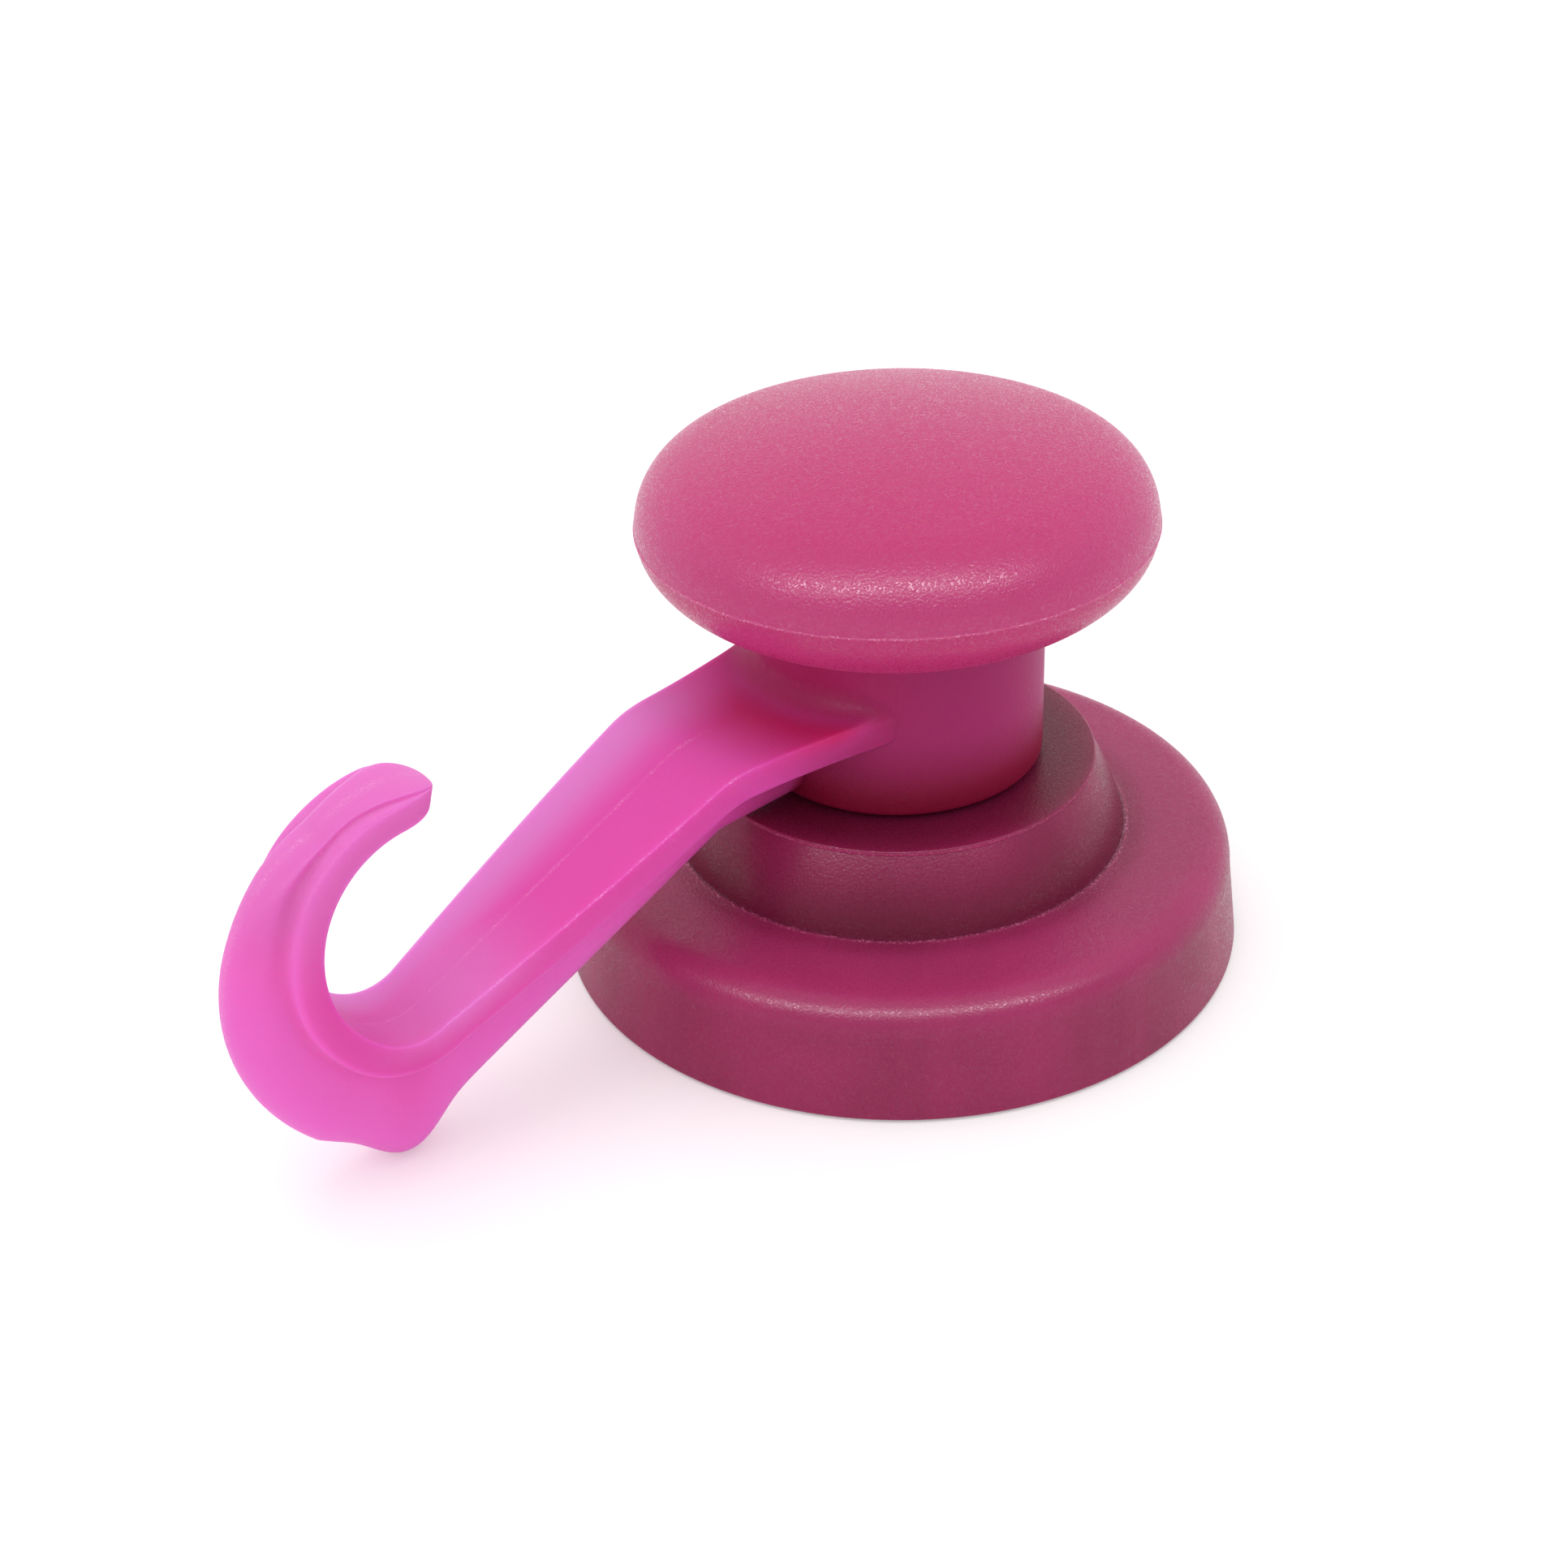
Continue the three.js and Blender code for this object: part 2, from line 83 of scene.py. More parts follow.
def mesh_object(name, points, quads, triangles):
    """Puts an array of points in millimetres, and arrays of corner numbers, into a new object."""
    halves = np.concatenate([quads[:, [0, 1, 2]], quads[:, [0, 2, 3]], triangles])
    volume = enclosed_volume(points, halves)
    if volume < 0:
        quads, triangles = quads[:, ::-1], triangles[:, ::-1]
    corners = np.concatenate([quads.ravel(), triangles.ravel()])
    sizes = np.concatenate([np.full(len(quads), 4), np.full(len(triangles), 3)])
    mesh = bpy.data.meshes.new(name)
    mesh.vertices.add(len(points))
    mesh.vertices.foreach_set("co", (points * MILLIMETRE).ravel())
    mesh.loops.add(len(corners))
    mesh.loops.foreach_set("vertex_index", corners)
    mesh.polygons.add(len(sizes))
    mesh.polygons.foreach_set("loop_start", np.cumsum(sizes) - sizes)
    mesh.update(calc_edges=True)
    mesh.validate()
    smooth(mesh)
    made = bpy.data.objects.new(name, mesh)
    bpy.context.scene.collection.objects.link(made)
    print(f"{name}: {len(points)} points, {abs(volume) / 1000:.2f} cubic centimetres")
    return made


def smooth(mesh):
    """Shades a mesh smooth, apart from the edges that turn more than the sharp angle."""
    mesh.polygons.foreach_set("use_smooth", np.ones(len(mesh.polygons), bool))
    mesh.set_sharp_from_angle(angle=SHARP_ANGLE)


def grid_quads(rows, columns):
    """Corner numbers of the quads between neighbouring rows of a grid closed across its columns."""
    row, column = np.meshgrid(np.arange(rows - 1), np.arange(columns), indexing="ij")
    following = (column + 1) % columns
    start = row * columns
    faces = [start + column, start + following, start + columns + following, start + columns + column]
    return np.stack(faces, axis=-1).reshape(-1, 4)


def end_fans(rows, columns):
    """Corner numbers of the triangles that close the first and last ring of a grid on two added points."""
    ring = np.arange(columns)
    following = (ring + 1) % columns
    last_ring = (rows - 1) * columns
    first_hub = np.full(columns, rows * columns)
    return np.concatenate([
        np.stack([first_hub, following, ring], axis=-1),
        np.stack([first_hub + 1, last_ring + ring, last_ring + following], axis=-1),
    ])


# %% [markdown]
# ## Profiles
# A profile is a row of (radius, height) pairs. Corners on a moulding are never sharp, so
# two curves do most of the work: a bend between two points that aims at a corner, and a
# small bend that rounds a corner off. A profile becomes a piece by being carried round the
# Z axis, as on a lathe.

# %% Profile helpers


def bend(first, corner, last, steps=16):
    """Quadratic curve: (1 - t)^2 first + 2 t (1 - t) corner + t^2 last, for t from 0 to 1."""
    t = np.linspace(0, 1, steps + 1)[:, None]
    first, corner, last = (np.asarray(p, float) for p in (first, corner, last))
    return (1 - t) ** 2 * first + 2 * t * (1 - t) * corner + t**2 * last


def rounded(before, corner, after, size, steps=6):
    """The bend that starts and ends a given size away from a corner, on its two sides."""
    before, corner, after = (np.asarray(p, float) for p in (before, corner, after))
    first = corner + (before - corner) * size / np.linalg.norm(before - corner)
    last = corner + (after - corner) * size / np.linalg.norm(after - corner)
    return bend(first, corner, last, steps)


def straight(first, last, steps=8):
    """Evenly spaced points from first to last."""
    return np.linspace(np.asarray(first, float), np.asarray(last, float), steps + 1)


SAME_PLACE = 1e-6


def joined(*pieces):
    """One profile from several, without the points that repeat the one before them."""
    points = np.concatenate([np.atleast_2d(np.asarray(piece, float)) for piece in pieces])
    apart = np.linalg.norm(np.diff(points, axis=0), axis=1) > SAME_PLACE
    return points[np.concatenate([[True], apart])]


TURNED_SEGMENTS = 240


def turned(name, profile, swell=None):
    """A profile carried round the Z axis: x = r cos a, y = r sin a, z = h.

    A profile whose ends have no radius closes at two poles. Any other is closed onto
    itself. swell(r, h, a) gives a change of radius, for forms that aren't round.
    """
    angles = np.arange(TURNED_SEGMENTS) * (2 * math.pi / TURNED_SEGMENTS)
    poled = bool(profile[0, 0] == 0 and profile[-1, 0] == 0)
    rings = profile[1:-1] if poled else np.concatenate([profile, profile[:1]])
    radius, turn = np.meshgrid(rings[:, 0], angles, indexing="ij")
    height = np.broadcast_to(rings[:, 1:2], radius.shape)
    if swell is not None:
        radius = radius + swell(radius, height, turn)
    points = np.stack([radius * np.cos(turn), radius * np.sin(turn), height], axis=-1).reshape(-1, 3)
    quads = grid_quads(len(rings), TURNED_SEGMENTS)
    if not poled:
        last_ring = (len(rings) - 1) * TURNED_SEGMENTS
        return mesh_object(name, points[:last_ring], quads % last_ring, np.zeros((0, 3), int))
    poles = np.array([[0, 0, profile[0, 1]], [0, 0, profile[-1, 1]]])
    return mesh_object(name, np.concatenate([points, poles]), quads, end_fans(len(rings), TURNED_SEGMENTS))


# %% [markdown]
# ## The housing
# The housing is a shallow cup that holds the magnet, with a flared boss on top and a hollow
# spindle on the boss. It leaves the mould without an undercut, so its wall leans in a
# little and its rim is well rounded. Where two parts of the mould meet, a hair of plastic
# is left standing: a fine line shows at the foot of the boss and round its top edge. Both
# lines are part of the profile here, because real relief catches the light from any side.

# %% Housing sizes
BASE_RADIUS, BASE_LIFT, RIM_RADIUS, RIM_START, RIM_TOP = 21.0, 0.1, 20.42, 5.0, 7.3
SHOULDER_RADIUS, SHOULDER_TOP = 18.42, 7.38
BOSS_FOOT_RADIUS, BOSS_FOOT, BOSS_RADIUS, BOSS_TOP, BOSS_BULGE = 13.9, 7.46, 11.95, 12.3, 0.28
SPINDLE_RADIUS, SPINDLE_BORE, SPINDLE_TOP = 5.4, 3.4, 22.6
SCREW_HOLE, ROOF_BOTTOM, CAVITY_RADIUS = 1.95, 10.1, 10.15
CEILING, CEILING_RADIUS, WALL_INNER_RADIUS = 5.5, 18.62, 19.2
FOOT_ROUND, BOSS_ROUND, SPINDLE_ROUND, ROOF_ROUND, CEILING_ROUND = 0.22, 0.1, 0.3, 1.8, 0.3
WALL_FOOT_STEP, INNER_WALL_STEP = (-0.04, 0.35), (0.05, -0.5)

# %% [markdown]
# The flash stands 0.04 mm proud. Its line at the boss's foot is given by distances outside
# the foot's radius, and the line at the top edge by distances below that edge.

# %% Flash sizes
FLASH = 0.04
FOOT_FLASH_OUTER, FOOT_FLASH_FULL, FOOT_FLASH_INNER, BOSS_SET_BACK = 0.3, 0.16, 0.04, 0.06
TOP_FLASH_START, TOP_FLASH_LOW, TOP_FLASH_HIGH = 0.3, 0.22, 0.12

# %% Housing profile


def housing_profile():
    """Outer wall, rim, shoulder, boss and spindle, then back down the inside."""
    wall_start, wall_end = (BASE_RADIUS, BASE_LIFT), (RIM_RADIUS, RIM_START)
    boss_edge, boss_side = (BOSS_RADIUS, BOSS_TOP), (BOSS_RADIUS, BOSS_TOP - TOP_FLASH_START)
    boss_start = (BOSS_FOOT_RADIUS - BOSS_SET_BACK, BOSS_FOOT + BOSS_SET_BACK)
    boss_waist = ((BOSS_RADIUS + BOSS_FOOT_RADIUS) / 2 + BOSS_BULGE, (BOSS_FOOT + BOSS_TOP) / 2)
    spindle_foot, spindle_edge = (SPINDLE_RADIUS, BOSS_TOP), (SPINDLE_RADIUS, SPINDLE_TOP)
    roof_hole, roof_corner = (SCREW_HOLE, ROOF_BOTTOM), (CAVITY_RADIUS, ROOF_BOTTOM)
    cavity_corner = (CAVITY_RADIUS, CEILING)
    ceiling_corner, wall_foot = (CEILING_RADIUS, CEILING), (WALL_INNER_RADIUS, BASE_LIFT)
    foot_flash, top_flash = BOSS_FOOT + FLASH, BOSS_RADIUS + FLASH
    return joined(
        rounded(wall_foot, wall_start, wall_end, FOOT_ROUND),
        straight((BASE_RADIUS + WALL_FOOT_STEP[0], BASE_LIFT + WALL_FOOT_STEP[1]), wall_end),
        bend(wall_end, (RIM_RADIUS, RIM_TOP), (SHOULDER_RADIUS, SHOULDER_TOP), steps=24),
        straight((SHOULDER_RADIUS, SHOULDER_TOP), (BOSS_FOOT_RADIUS + FOOT_FLASH_OUTER, BOSS_FOOT)),
        [(BOSS_FOOT_RADIUS + FOOT_FLASH_FULL, foot_flash), (BOSS_FOOT_RADIUS + FOOT_FLASH_INNER, foot_flash)],
        bend(boss_start, boss_waist, boss_side, steps=24),
        [(top_flash, BOSS_TOP - TOP_FLASH_LOW), (top_flash, BOSS_TOP - TOP_FLASH_HIGH)],
        rounded(boss_side, boss_edge, spindle_foot, BOSS_ROUND),
        straight((BOSS_RADIUS - BOSS_ROUND, BOSS_TOP), spindle_foot),
        rounded(spindle_foot, spindle_edge, (SPINDLE_BORE, SPINDLE_TOP), SPINDLE_ROUND),
        [(SPINDLE_BORE, SPINDLE_TOP), (SPINDLE_BORE, BOSS_TOP), (SCREW_HOLE, BOSS_TOP)],
        rounded(roof_hole, roof_corner, cavity_corner, ROOF_ROUND),
        rounded(cavity_corner, ceiling_corner, wall_foot, CEILING_ROUND),
        straight((CEILING_RADIUS + INNER_WALL_STEP[0], CEILING + INNER_WALL_STEP[1]), wall_foot),
    )


# %% Housing mesh
CRUSH_RIBS, CRUSH_RIB_TIP, CRUSH_RIB_HALF_WIDTH, CRUSH_RIB_BOTTOM = 8, 17.35, 0.55, 0.9
WALL_MARGIN = 0.1


def crush_ribs(radius, height, turn):
    """Ribs on the inner wall that grip the magnet's cup.

    The radius falls by a bump that is flat on top and fades within a millimetre of arc.
    """
    from_rib = (turn * CRUSH_RIBS / (2 * math.pi)) % 1 - 0.5
    arc = from_rib * (2 * math.pi / CRUSH_RIBS) * radius
    on_wall = (radius > CEILING_RADIUS - WALL_MARGIN) & (radius < WALL_INNER_RADIUS + WALL_MARGIN)
    inside = on_wall & (height > CRUSH_RIB_BOTTOM) & (height < CEILING - 2 * WALL_MARGIN)
    return np.where(inside, -(radius - CRUSH_RIB_TIP) * np.exp(-((arc / CRUSH_RIB_HALF_WIDTH) ** 4)), 0.0)


housing = turned("housing", housing_profile(), crush_ribs)
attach(housing, "base")
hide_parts("base_shell")

# %% [markdown]
# ## The pad
# A thin vinyl disc covers the magnet, so that it neither scratches a surface nor slides on
# it. It is die-cut from sheet and pressed, which leaves its edge softly rounded.

# %% Pad mesh
PAD_RADIUS, PAD_THICKNESS, PAD_FOOT_ROUND, PAD_TOP_ROUND = 18.6, 0.6, 0.08, 0.3
PAD_MIDDLE, PAD_RIM = 1.0, 0.1
pad_foot, pad_edge = (PAD_RADIUS, 0), (PAD_RADIUS, PAD_THICKNESS)
pad_profile = joined(
    [(0, 0)],
    straight((PAD_MIDDLE, 0), (PAD_RADIUS - PAD_RIM, 0), steps=20),
    rounded((0, 0), pad_foot, pad_edge, PAD_FOOT_ROUND),
    rounded(pad_foot, pad_edge, (0, PAD_THICKNESS), PAD_TOP_ROUND),
    straight((PAD_RADIUS - PAD_MIDDLE, PAD_THICKNESS), (PAD_MIDDLE, PAD_THICKNESS), steps=10),
    [(0, PAD_THICKNESS)],
)
pad = turned("wall_pad", pad_profile)
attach(pad, "base")
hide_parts("face_pad")

# %% [markdown]
# ## The knob
# The knob is what a hand turns the magnet off the wall with. It has a low domed top, a
# rounded edge and a belly that draws in to a hub, and a stem goes down inside the spindle.
# The two halves of its mould meet at the widest circle, so a hair of plastic runs round it
# there. A sphere pushed flat would miss the change between the tight edge and the wide dome,
# so the profile joins two bends and an arc.

# %% Knob profile
KNOB_RADIUS, KNOB_EQUATOR, KNOB_TOP = 15.17, 27.7, 33.7
BELLY_BOTTOM, HUB_BOTTOM, HUB_RADIUS, HUB_STEP = 22.98, 22.9, 8.6, 0.6
DOME_FOOT, DOME_RADIUS = 32.1, 11.5
BULGE, BELLY_INSET, EDGE_INSET = 3.3, 0.3, 0.15
STEM_ROUND, FLASH_HALF_WIDTH = 0.3, 0.03
STEM_RADIUS, STEM_BOTTOM, PILOT_RADIUS, PILOT_TOP = 3.1, 12.6, 1.75, 21.0


def dome_arc(steps=24):
    """Arc from the foot of the dome to its top: radius (a^2 + h^2) / 2h for half width a and rise h."""
    rise = KNOB_TOP - DOME_FOOT
    radius = (DOME_RADIUS**2 + rise**2) / (2 * rise)
    angle = math.asin(DOME_RADIUS / radius) * np.linspace(1, 0, steps + 1)[1:]
    return np.stack([radius * np.sin(angle), KNOB_TOP - radius * (1 - np.cos(angle))], axis=-1)


widest = (KNOB_RADIUS, KNOB_EQUATOR)
belly_start = (HUB_RADIUS + HUB_STEP, BELLY_BOTTOM)
belly_corner = (KNOB_RADIUS - BELLY_INSET, KNOB_EQUATOR - BULGE)
edge_corner, edge_end = (KNOB_RADIUS - EDGE_INSET, KNOB_EQUATOR + BULGE), (DOME_RADIUS, DOME_FOOT)
belly = bend(belly_start, belly_corner, widest, steps=40)
edge = bend(widest, edge_corner, edge_end, steps=40)
parting_line = [
    (KNOB_RADIUS, KNOB_EQUATOR - 2 * FLASH_HALF_WIDTH),
    (KNOB_RADIUS + FLASH, KNOB_EQUATOR - FLASH_HALF_WIDTH),
    (KNOB_RADIUS + FLASH, KNOB_EQUATOR + FLASH_HALF_WIDTH),
    (KNOB_RADIUS, KNOB_EQUATOR + 2 * FLASH_HALF_WIDTH),
]
knob_profile = joined(
    [(0, PILOT_TOP), (PILOT_RADIUS, PILOT_TOP - PILOT_RADIUS), (PILOT_RADIUS, STEM_BOTTOM)],
    rounded((PILOT_RADIUS, STEM_BOTTOM), (STEM_RADIUS, STEM_BOTTOM), (STEM_RADIUS, HUB_BOTTOM), STEM_ROUND),
    [(STEM_RADIUS, HUB_BOTTOM), (HUB_RADIUS, HUB_BOTTOM)],
    belly[:-1],
    parting_line,
    edge[1:],
    dome_arc(),
)
knob_profile[-1] = (0, KNOB_TOP)
knob = turned("knob_body", knob_profile)
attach(knob, "base")
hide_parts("knob")

# %% [markdown]
# ## The hook's path
# The hook is one moulding: a collar that turns on the spindle, and an arm of tee section
# that ends in a round bowl. The strip of the tee carries the load, and the rib behind it
# keeps it from bending. The arm is a section carried along a path, which is how its mould
# was cut. The path is the middle of the loaded face: a short straight root, a bend at the
# elbow, the straight arm, a bend at the heel, and an ellipse round to the tip.

# %% Path of the loaded face
COLLAR_BORE, COLLAR_RADIUS, COLLAR_BOTTOM, COLLAR_TOP = 5.8, 8.75, 12.6, 22.6
ROOT, ELBOW = np.array([5.297, 19.6]), np.array([16.04, 18.62])
BOWL_REACH, BOWL_HEIGHT, BOWL_HALF_LENGTH, BOWL_HALF_HEIGHT = 34.03, 14.95, 6.2, 6.54
BOWL_START, TIP_ANGLE = -56.5, 108.0
ELBOW_BEND, HEEL_BEND = 1.4, 2.0


def bowl_point(degrees):
    """Point of the ellipse at an angle: middle + (a cos, b sin)."""
    angle = np.radians(degrees)
    return np.stack([
        BOWL_REACH + BOWL_HALF_LENGTH * np.cos(angle),
        BOWL_HEIGHT + BOWL_HALF_HEIGHT * np.sin(angle),
    ], axis=-1)


def towards(first, second):
    """Direction of unit length from one point to another."""
    return (second - first) / np.linalg.norm(second - first)


def path_of_arm():
    """The arm's points from root to bowl: straight lines, joined by bends at elbow and heel."""
    start = bowl_point(BOWL_START)
    angle = math.radians(BOWL_START + 90)
    heel = start - HEEL_BEND * np.array([math.cos(angle), math.sin(angle)])
    elbow_in = ELBOW + ELBOW_BEND * towards(ELBOW, ROOT)
    elbow_out = ELBOW + ELBOW_BEND * towards(ELBOW, heel)
    heel_in = heel + HEEL_BEND * towards(heel, ELBOW)
    return joined(
        straight(ROOT, elbow_in, steps=70),
        bend(elbow_in, ELBOW, elbow_out, steps=16),
        straight(elbow_out, heel_in, steps=60),
        bend(heel_in, heel, start, steps=44),
    )


# %% [markdown]
# ## The hook's section
# Each station on the path has its own section: how wide the strip is, how far the rib
# reaches, and how far the strip stands out beside it. The rib is deepest at the heel, where
# the load bends the hook the most, and it carries a small lug there. The section is made
# for all stations at once: every corner is an array with one row for each station.

# %% Sizes along the path
ROOT_HALF_WIDTH, ARM_HALF_WIDTH, HEEL_HALF_WIDTH, TIP_HALF_WIDTH = 6.8, 5.2, 3.15, 2.3
STRIP, TIP_STRIP, VALLEY, RIB_HALF_WIDTH, TIP_LEDGE = 2.0, 1.6, 0.25, 1.9, 0.1
ARM_DEPTH, HEEL_DEPTH, TIP_DEPTH = 6.48, 7.17, 1.9
LUG_HEIGHT, LUG_ANGLE, LUG_SPREAD = 1.95, -87.0, 13.5
SLIM_ANGLE, LEDGE_FADE, TIP_ROUND = 56.0, 60.0, 3.0
EDGE_ROUND, ROOT_EDGE_ROUND, ROOT_FILLET = 0.14, 0.5, 1.8
FLARE_POWER, TAPER_POWER, FOLD_SHARE = 1.6, 1.35, 0.12
LEVEL_PAST_ELBOW = 5
MIDDLE_STATION, BOWL_POINTS, TIP_POINTS = 120, 110, 22


def ease(share):
    """3 s^2 - 2 s^3, for s held between 0 and 1."""
    held = np.clip(share, 0, 1)
    return held * held * (3 - 2 * held)


def mixed(first, last, share):
    """first + (last - first) share."""
    return first + (last - first) * share


def lug_height(angle):
    """The lug on the heel: h exp(-((a - m) / w)^2) at an angle a."""
    return LUG_HEIGHT * np.exp(-(((angle - LUG_ANGLE) / LUG_SPREAD) ** 2))


# %% Stations


def arm_stations():
    """Stations from root to heel: down is the path's direction, turned by a quarter."""
    spot = path_of_arm()[:-1]
    along = np.gradient(spot, axis=0)
    along /= np.linalg.norm(along, axis=1)[:, None]
    down = np.stack([along[:, 1], -along[:, 0]], axis=-1)
    angle = np.degrees(np.arctan2(down[:, 1], down[:, 0]))
    reach = spot[:, 0]
    flare = np.clip((ELBOW[0] - reach) / (ELBOW[0] - ROOT[0]), 0, 1) ** FLARE_POWER
    taper = np.clip((reach - ELBOW[0]) / (BOWL_REACH - ELBOW[0]), 0, 1) ** TAPER_POWER
    flared = mixed(ARM_HALF_WIDTH, ROOT_HALF_WIDTH, flare)
    tapered = mixed(ARM_HALF_WIDTH, HEEL_HALF_WIDTH, taper)
    rise = ease((angle - angle[MIDDLE_STATION]) / (BOWL_START - angle[MIDDLE_STATION]))
    deepened = mixed(ARM_DEPTH, HEEL_DEPTH, rise) + lug_height(angle)
    ones = np.ones(len(spot))
    return {
        "spot": spot,
        "down": down,
        "half_width": np.where(reach < ELBOW[0], flared, tapered),
        "rib_half": ones * RIB_HALF_WIDTH,
        "depth": np.where(reach < ELBOW[0] + LEVEL_PAST_ELBOW, ARM_DEPTH, deepened),
        "strip": ones * STRIP,
        "valley": ones * VALLEY,
        "edge": mixed(EDGE_ROUND, ROOT_EDGE_ROUND, flare),
        "shrink": ones,
    }


def bowl_stations():
    """Stations round the bowl: over the last few millimetres the section shrinks as cos t."""
    tip_turn = math.degrees(TIP_ROUND / (BOWL_HALF_HEIGHT + TIP_DEPTH / 2))
    quarter = (math.pi / 2) * np.linspace(0, 1, TIP_POINTS)[:-1]
    angle = np.concatenate([
        np.linspace(BOWL_START, TIP_ANGLE - tip_turn, BOWL_POINTS)[:-1],
        TIP_ANGLE - tip_turn + tip_turn * np.sin(quarter),
    ])
    share = (angle - BOWL_START) / (TIP_ANGLE - BOWL_START)
    slim = np.clip((angle - BOWL_START) / (SLIM_ANGLE - BOWL_START), 0, 1)
    fade = ease((angle - LEDGE_FADE) / (TIP_ANGLE - LEDGE_FADE))
    width = mixed(HEEL_HALF_WIDTH, TIP_HALF_WIDTH, share)
    return {
        "spot": bowl_point(angle),
        "down": np.stack([np.cos(np.radians(angle)), np.sin(np.radians(angle))], axis=-1),
        "half_width": width,
        "rib_half": width - mixed(HEEL_HALF_WIDTH - RIB_HALF_WIDTH, TIP_LEDGE, fade),
        "depth": mixed(HEEL_DEPTH, TIP_DEPTH, slim) + lug_height(angle),
        "strip": mixed(STRIP, TIP_STRIP, slim),
        "valley": mixed(VALLEY, 0, slim),
        "edge": np.full(len(angle), EDGE_ROUND),
        "shrink": np.concatenate([np.ones(BOWL_POINTS - 1), np.cos(quarter)]),
    }


def stations():
    """Every station of the hook, from root to tip, as a dictionary of arrays."""
    arm, bowl = arm_stations(), bowl_stations()
    return {size: np.concatenate([arm[size], bowl[size]]) for size in arm}


print("stations:", len(stations()["spot"]))

# %% Half of a tee section
FACE_POINTS, EDGE_STEPS, CORNER_STEPS, FILLET_STEPS, ARCH_STEPS = 26, 8, 5, 10, 16
CORNER_ROUND, RIB_FILLET, LEAST_RIB, LEAST_SIDE = 0.5, 0.9, 0.3, 0.02


def bends(first, corner, last, steps):
    """bend() for many stations at once: each point is a pair of arrays."""
    t = np.linspace(0, 1, steps + 1)[None, :, None]
    points = (np.stack(np.broadcast_arrays(*point), axis=-1)[:, None, :] for point in (first, corner, last))
    first, corner, last = points
    return (1 - t) ** 2 * first + 2 * t * (1 - t) * corner + t**2 * last


def tee_halves(at):
    """Half sections as (across, down) pairs, from the middle of the loaded face to the crest.

    The loaded face is a shallow valley with a rounded bottom: it rises like the square root
    of x^2 + f^2 at a distance x from the middle, where f is a small share of the width.
    """
    width, rib, depth, strip = at["half_width"], at["rib_half"], at["depth"], at["strip"]
    edge = at["edge"]
    level = np.zeros_like(width)
    across = (width - edge)[:, None] * np.linspace(0, 1, FACE_POINTS)
    fold = (FOLD_SHARE * width)[:, None]
    full = np.hypot(width[:, None], fold) - fold
    sunk = at["valley"][:, None] * (1 - (np.hypot(across, fold) - fold) / full)
    rib_height = np.maximum(depth - strip, LEAST_RIB)
    ledge = width - rib
    low = np.minimum(CORNER_ROUND, ledge / 2.5)
    fillet = np.minimum(np.minimum(RIB_FILLET, rib_height / 2), ledge / 2)
    crest = np.minimum(rib, rib_height - fillet - LEAST_SIDE)
    turn = (math.pi / 2) * np.linspace(0, 1, ARCH_STEPS + 1)[None, :]
    arch = np.stack([
        rib[:, None] * np.cos(turn),
        (strip + rib_height)[:, None] - crest[:, None] * (1 - np.sin(turn)),
    ], axis=-1)
    return np.concatenate([
        np.stack([across, sunk], axis=-1),
        bends((width - edge, sunk[:, -1]), (width, level), (width, level + edge), EDGE_STEPS)[:, 1:],
        bends((width, strip - low), (width, strip), (width - low, strip), CORNER_STEPS),
        bends((rib + fillet, strip), (rib, strip), (rib, strip + fillet), FILLET_STEPS),
        arch,
    ], axis=1)


# %% [markdown]
# ## From sections to one solid
# The sections are mirrored, set at their stations and skinned, and each end closes in a fan
# round a point inside its ring. The arm starts inside the collar's wall. The two closed
# surfaces are then united by a Boolean, and the bore is cut through both, so that the hook
# is one body with nothing loose inside it. The collar is a profile carried round the axis.

# %% Arm mesh


def root_fillet(points, share):
    """Lifts the loaded face in a quarter circle where it meets the collar.

    The rise is f - sqrt(f^2 - (f - d)^2) at a distance d from the collar, for a fillet f.
    share is 1 on the face and 0 below the strip.
    """
    apart = np.hypot(points[..., 0], points[..., 1]) - COLLAR_RADIUS
    left = np.clip(ROOT_FILLET - apart, 0, ROOT_FILLET)
    rise = ROOT_FILLET - np.sqrt(np.maximum(ROOT_FILLET**2 - left**2, 0))
    lifted = points.copy()
    lifted[..., 2] += rise * share
    return lifted


def hook_arm():
    """Skins all sections: place = spot + down * depth, with y across the arm and -x as reach."""
    at = stations()
    half = tee_halves(at)
    other = half[:, -2:0:-1] * np.array([-1.0, 1.0])
    section = np.concatenate([half, other], axis=1)
    middle = (at["depth"] / 2)[:, None]
    shrink = at["shrink"][:, None]
    down = middle + (section[..., 1] - middle) * np.sqrt(shrink)
    place = at["spot"][:, None, :] + at["down"][:, None, :] * down[..., None]
    points = np.stack([-place[..., 0], section[..., 0] * shrink, place[..., 1]], axis=-1)
    inner = 1 - np.clip(np.abs(section[..., 0]) / at["half_width"][:, None], 0, 1) ** 8
    points = root_fillet(points, inner * np.clip(1 - section[..., 1] / STRIP, 0, 1))
    rows, columns = points.shape[:2]
    fillet_start = half.shape[1] - (FILLET_STEPS + 1) - (ARCH_STEPS + 1)
    hubs = points[[0, -1]][:, [0, fillet_start, -fillet_start]].mean(axis=1)
    all_points = np.concatenate([points.reshape(-1, 3), hubs])
    return mesh_object("arm_blank", all_points, grid_quads(rows, columns), end_fans(rows, columns))


SAME_POINT = 0.0001 * MILLIMETRE


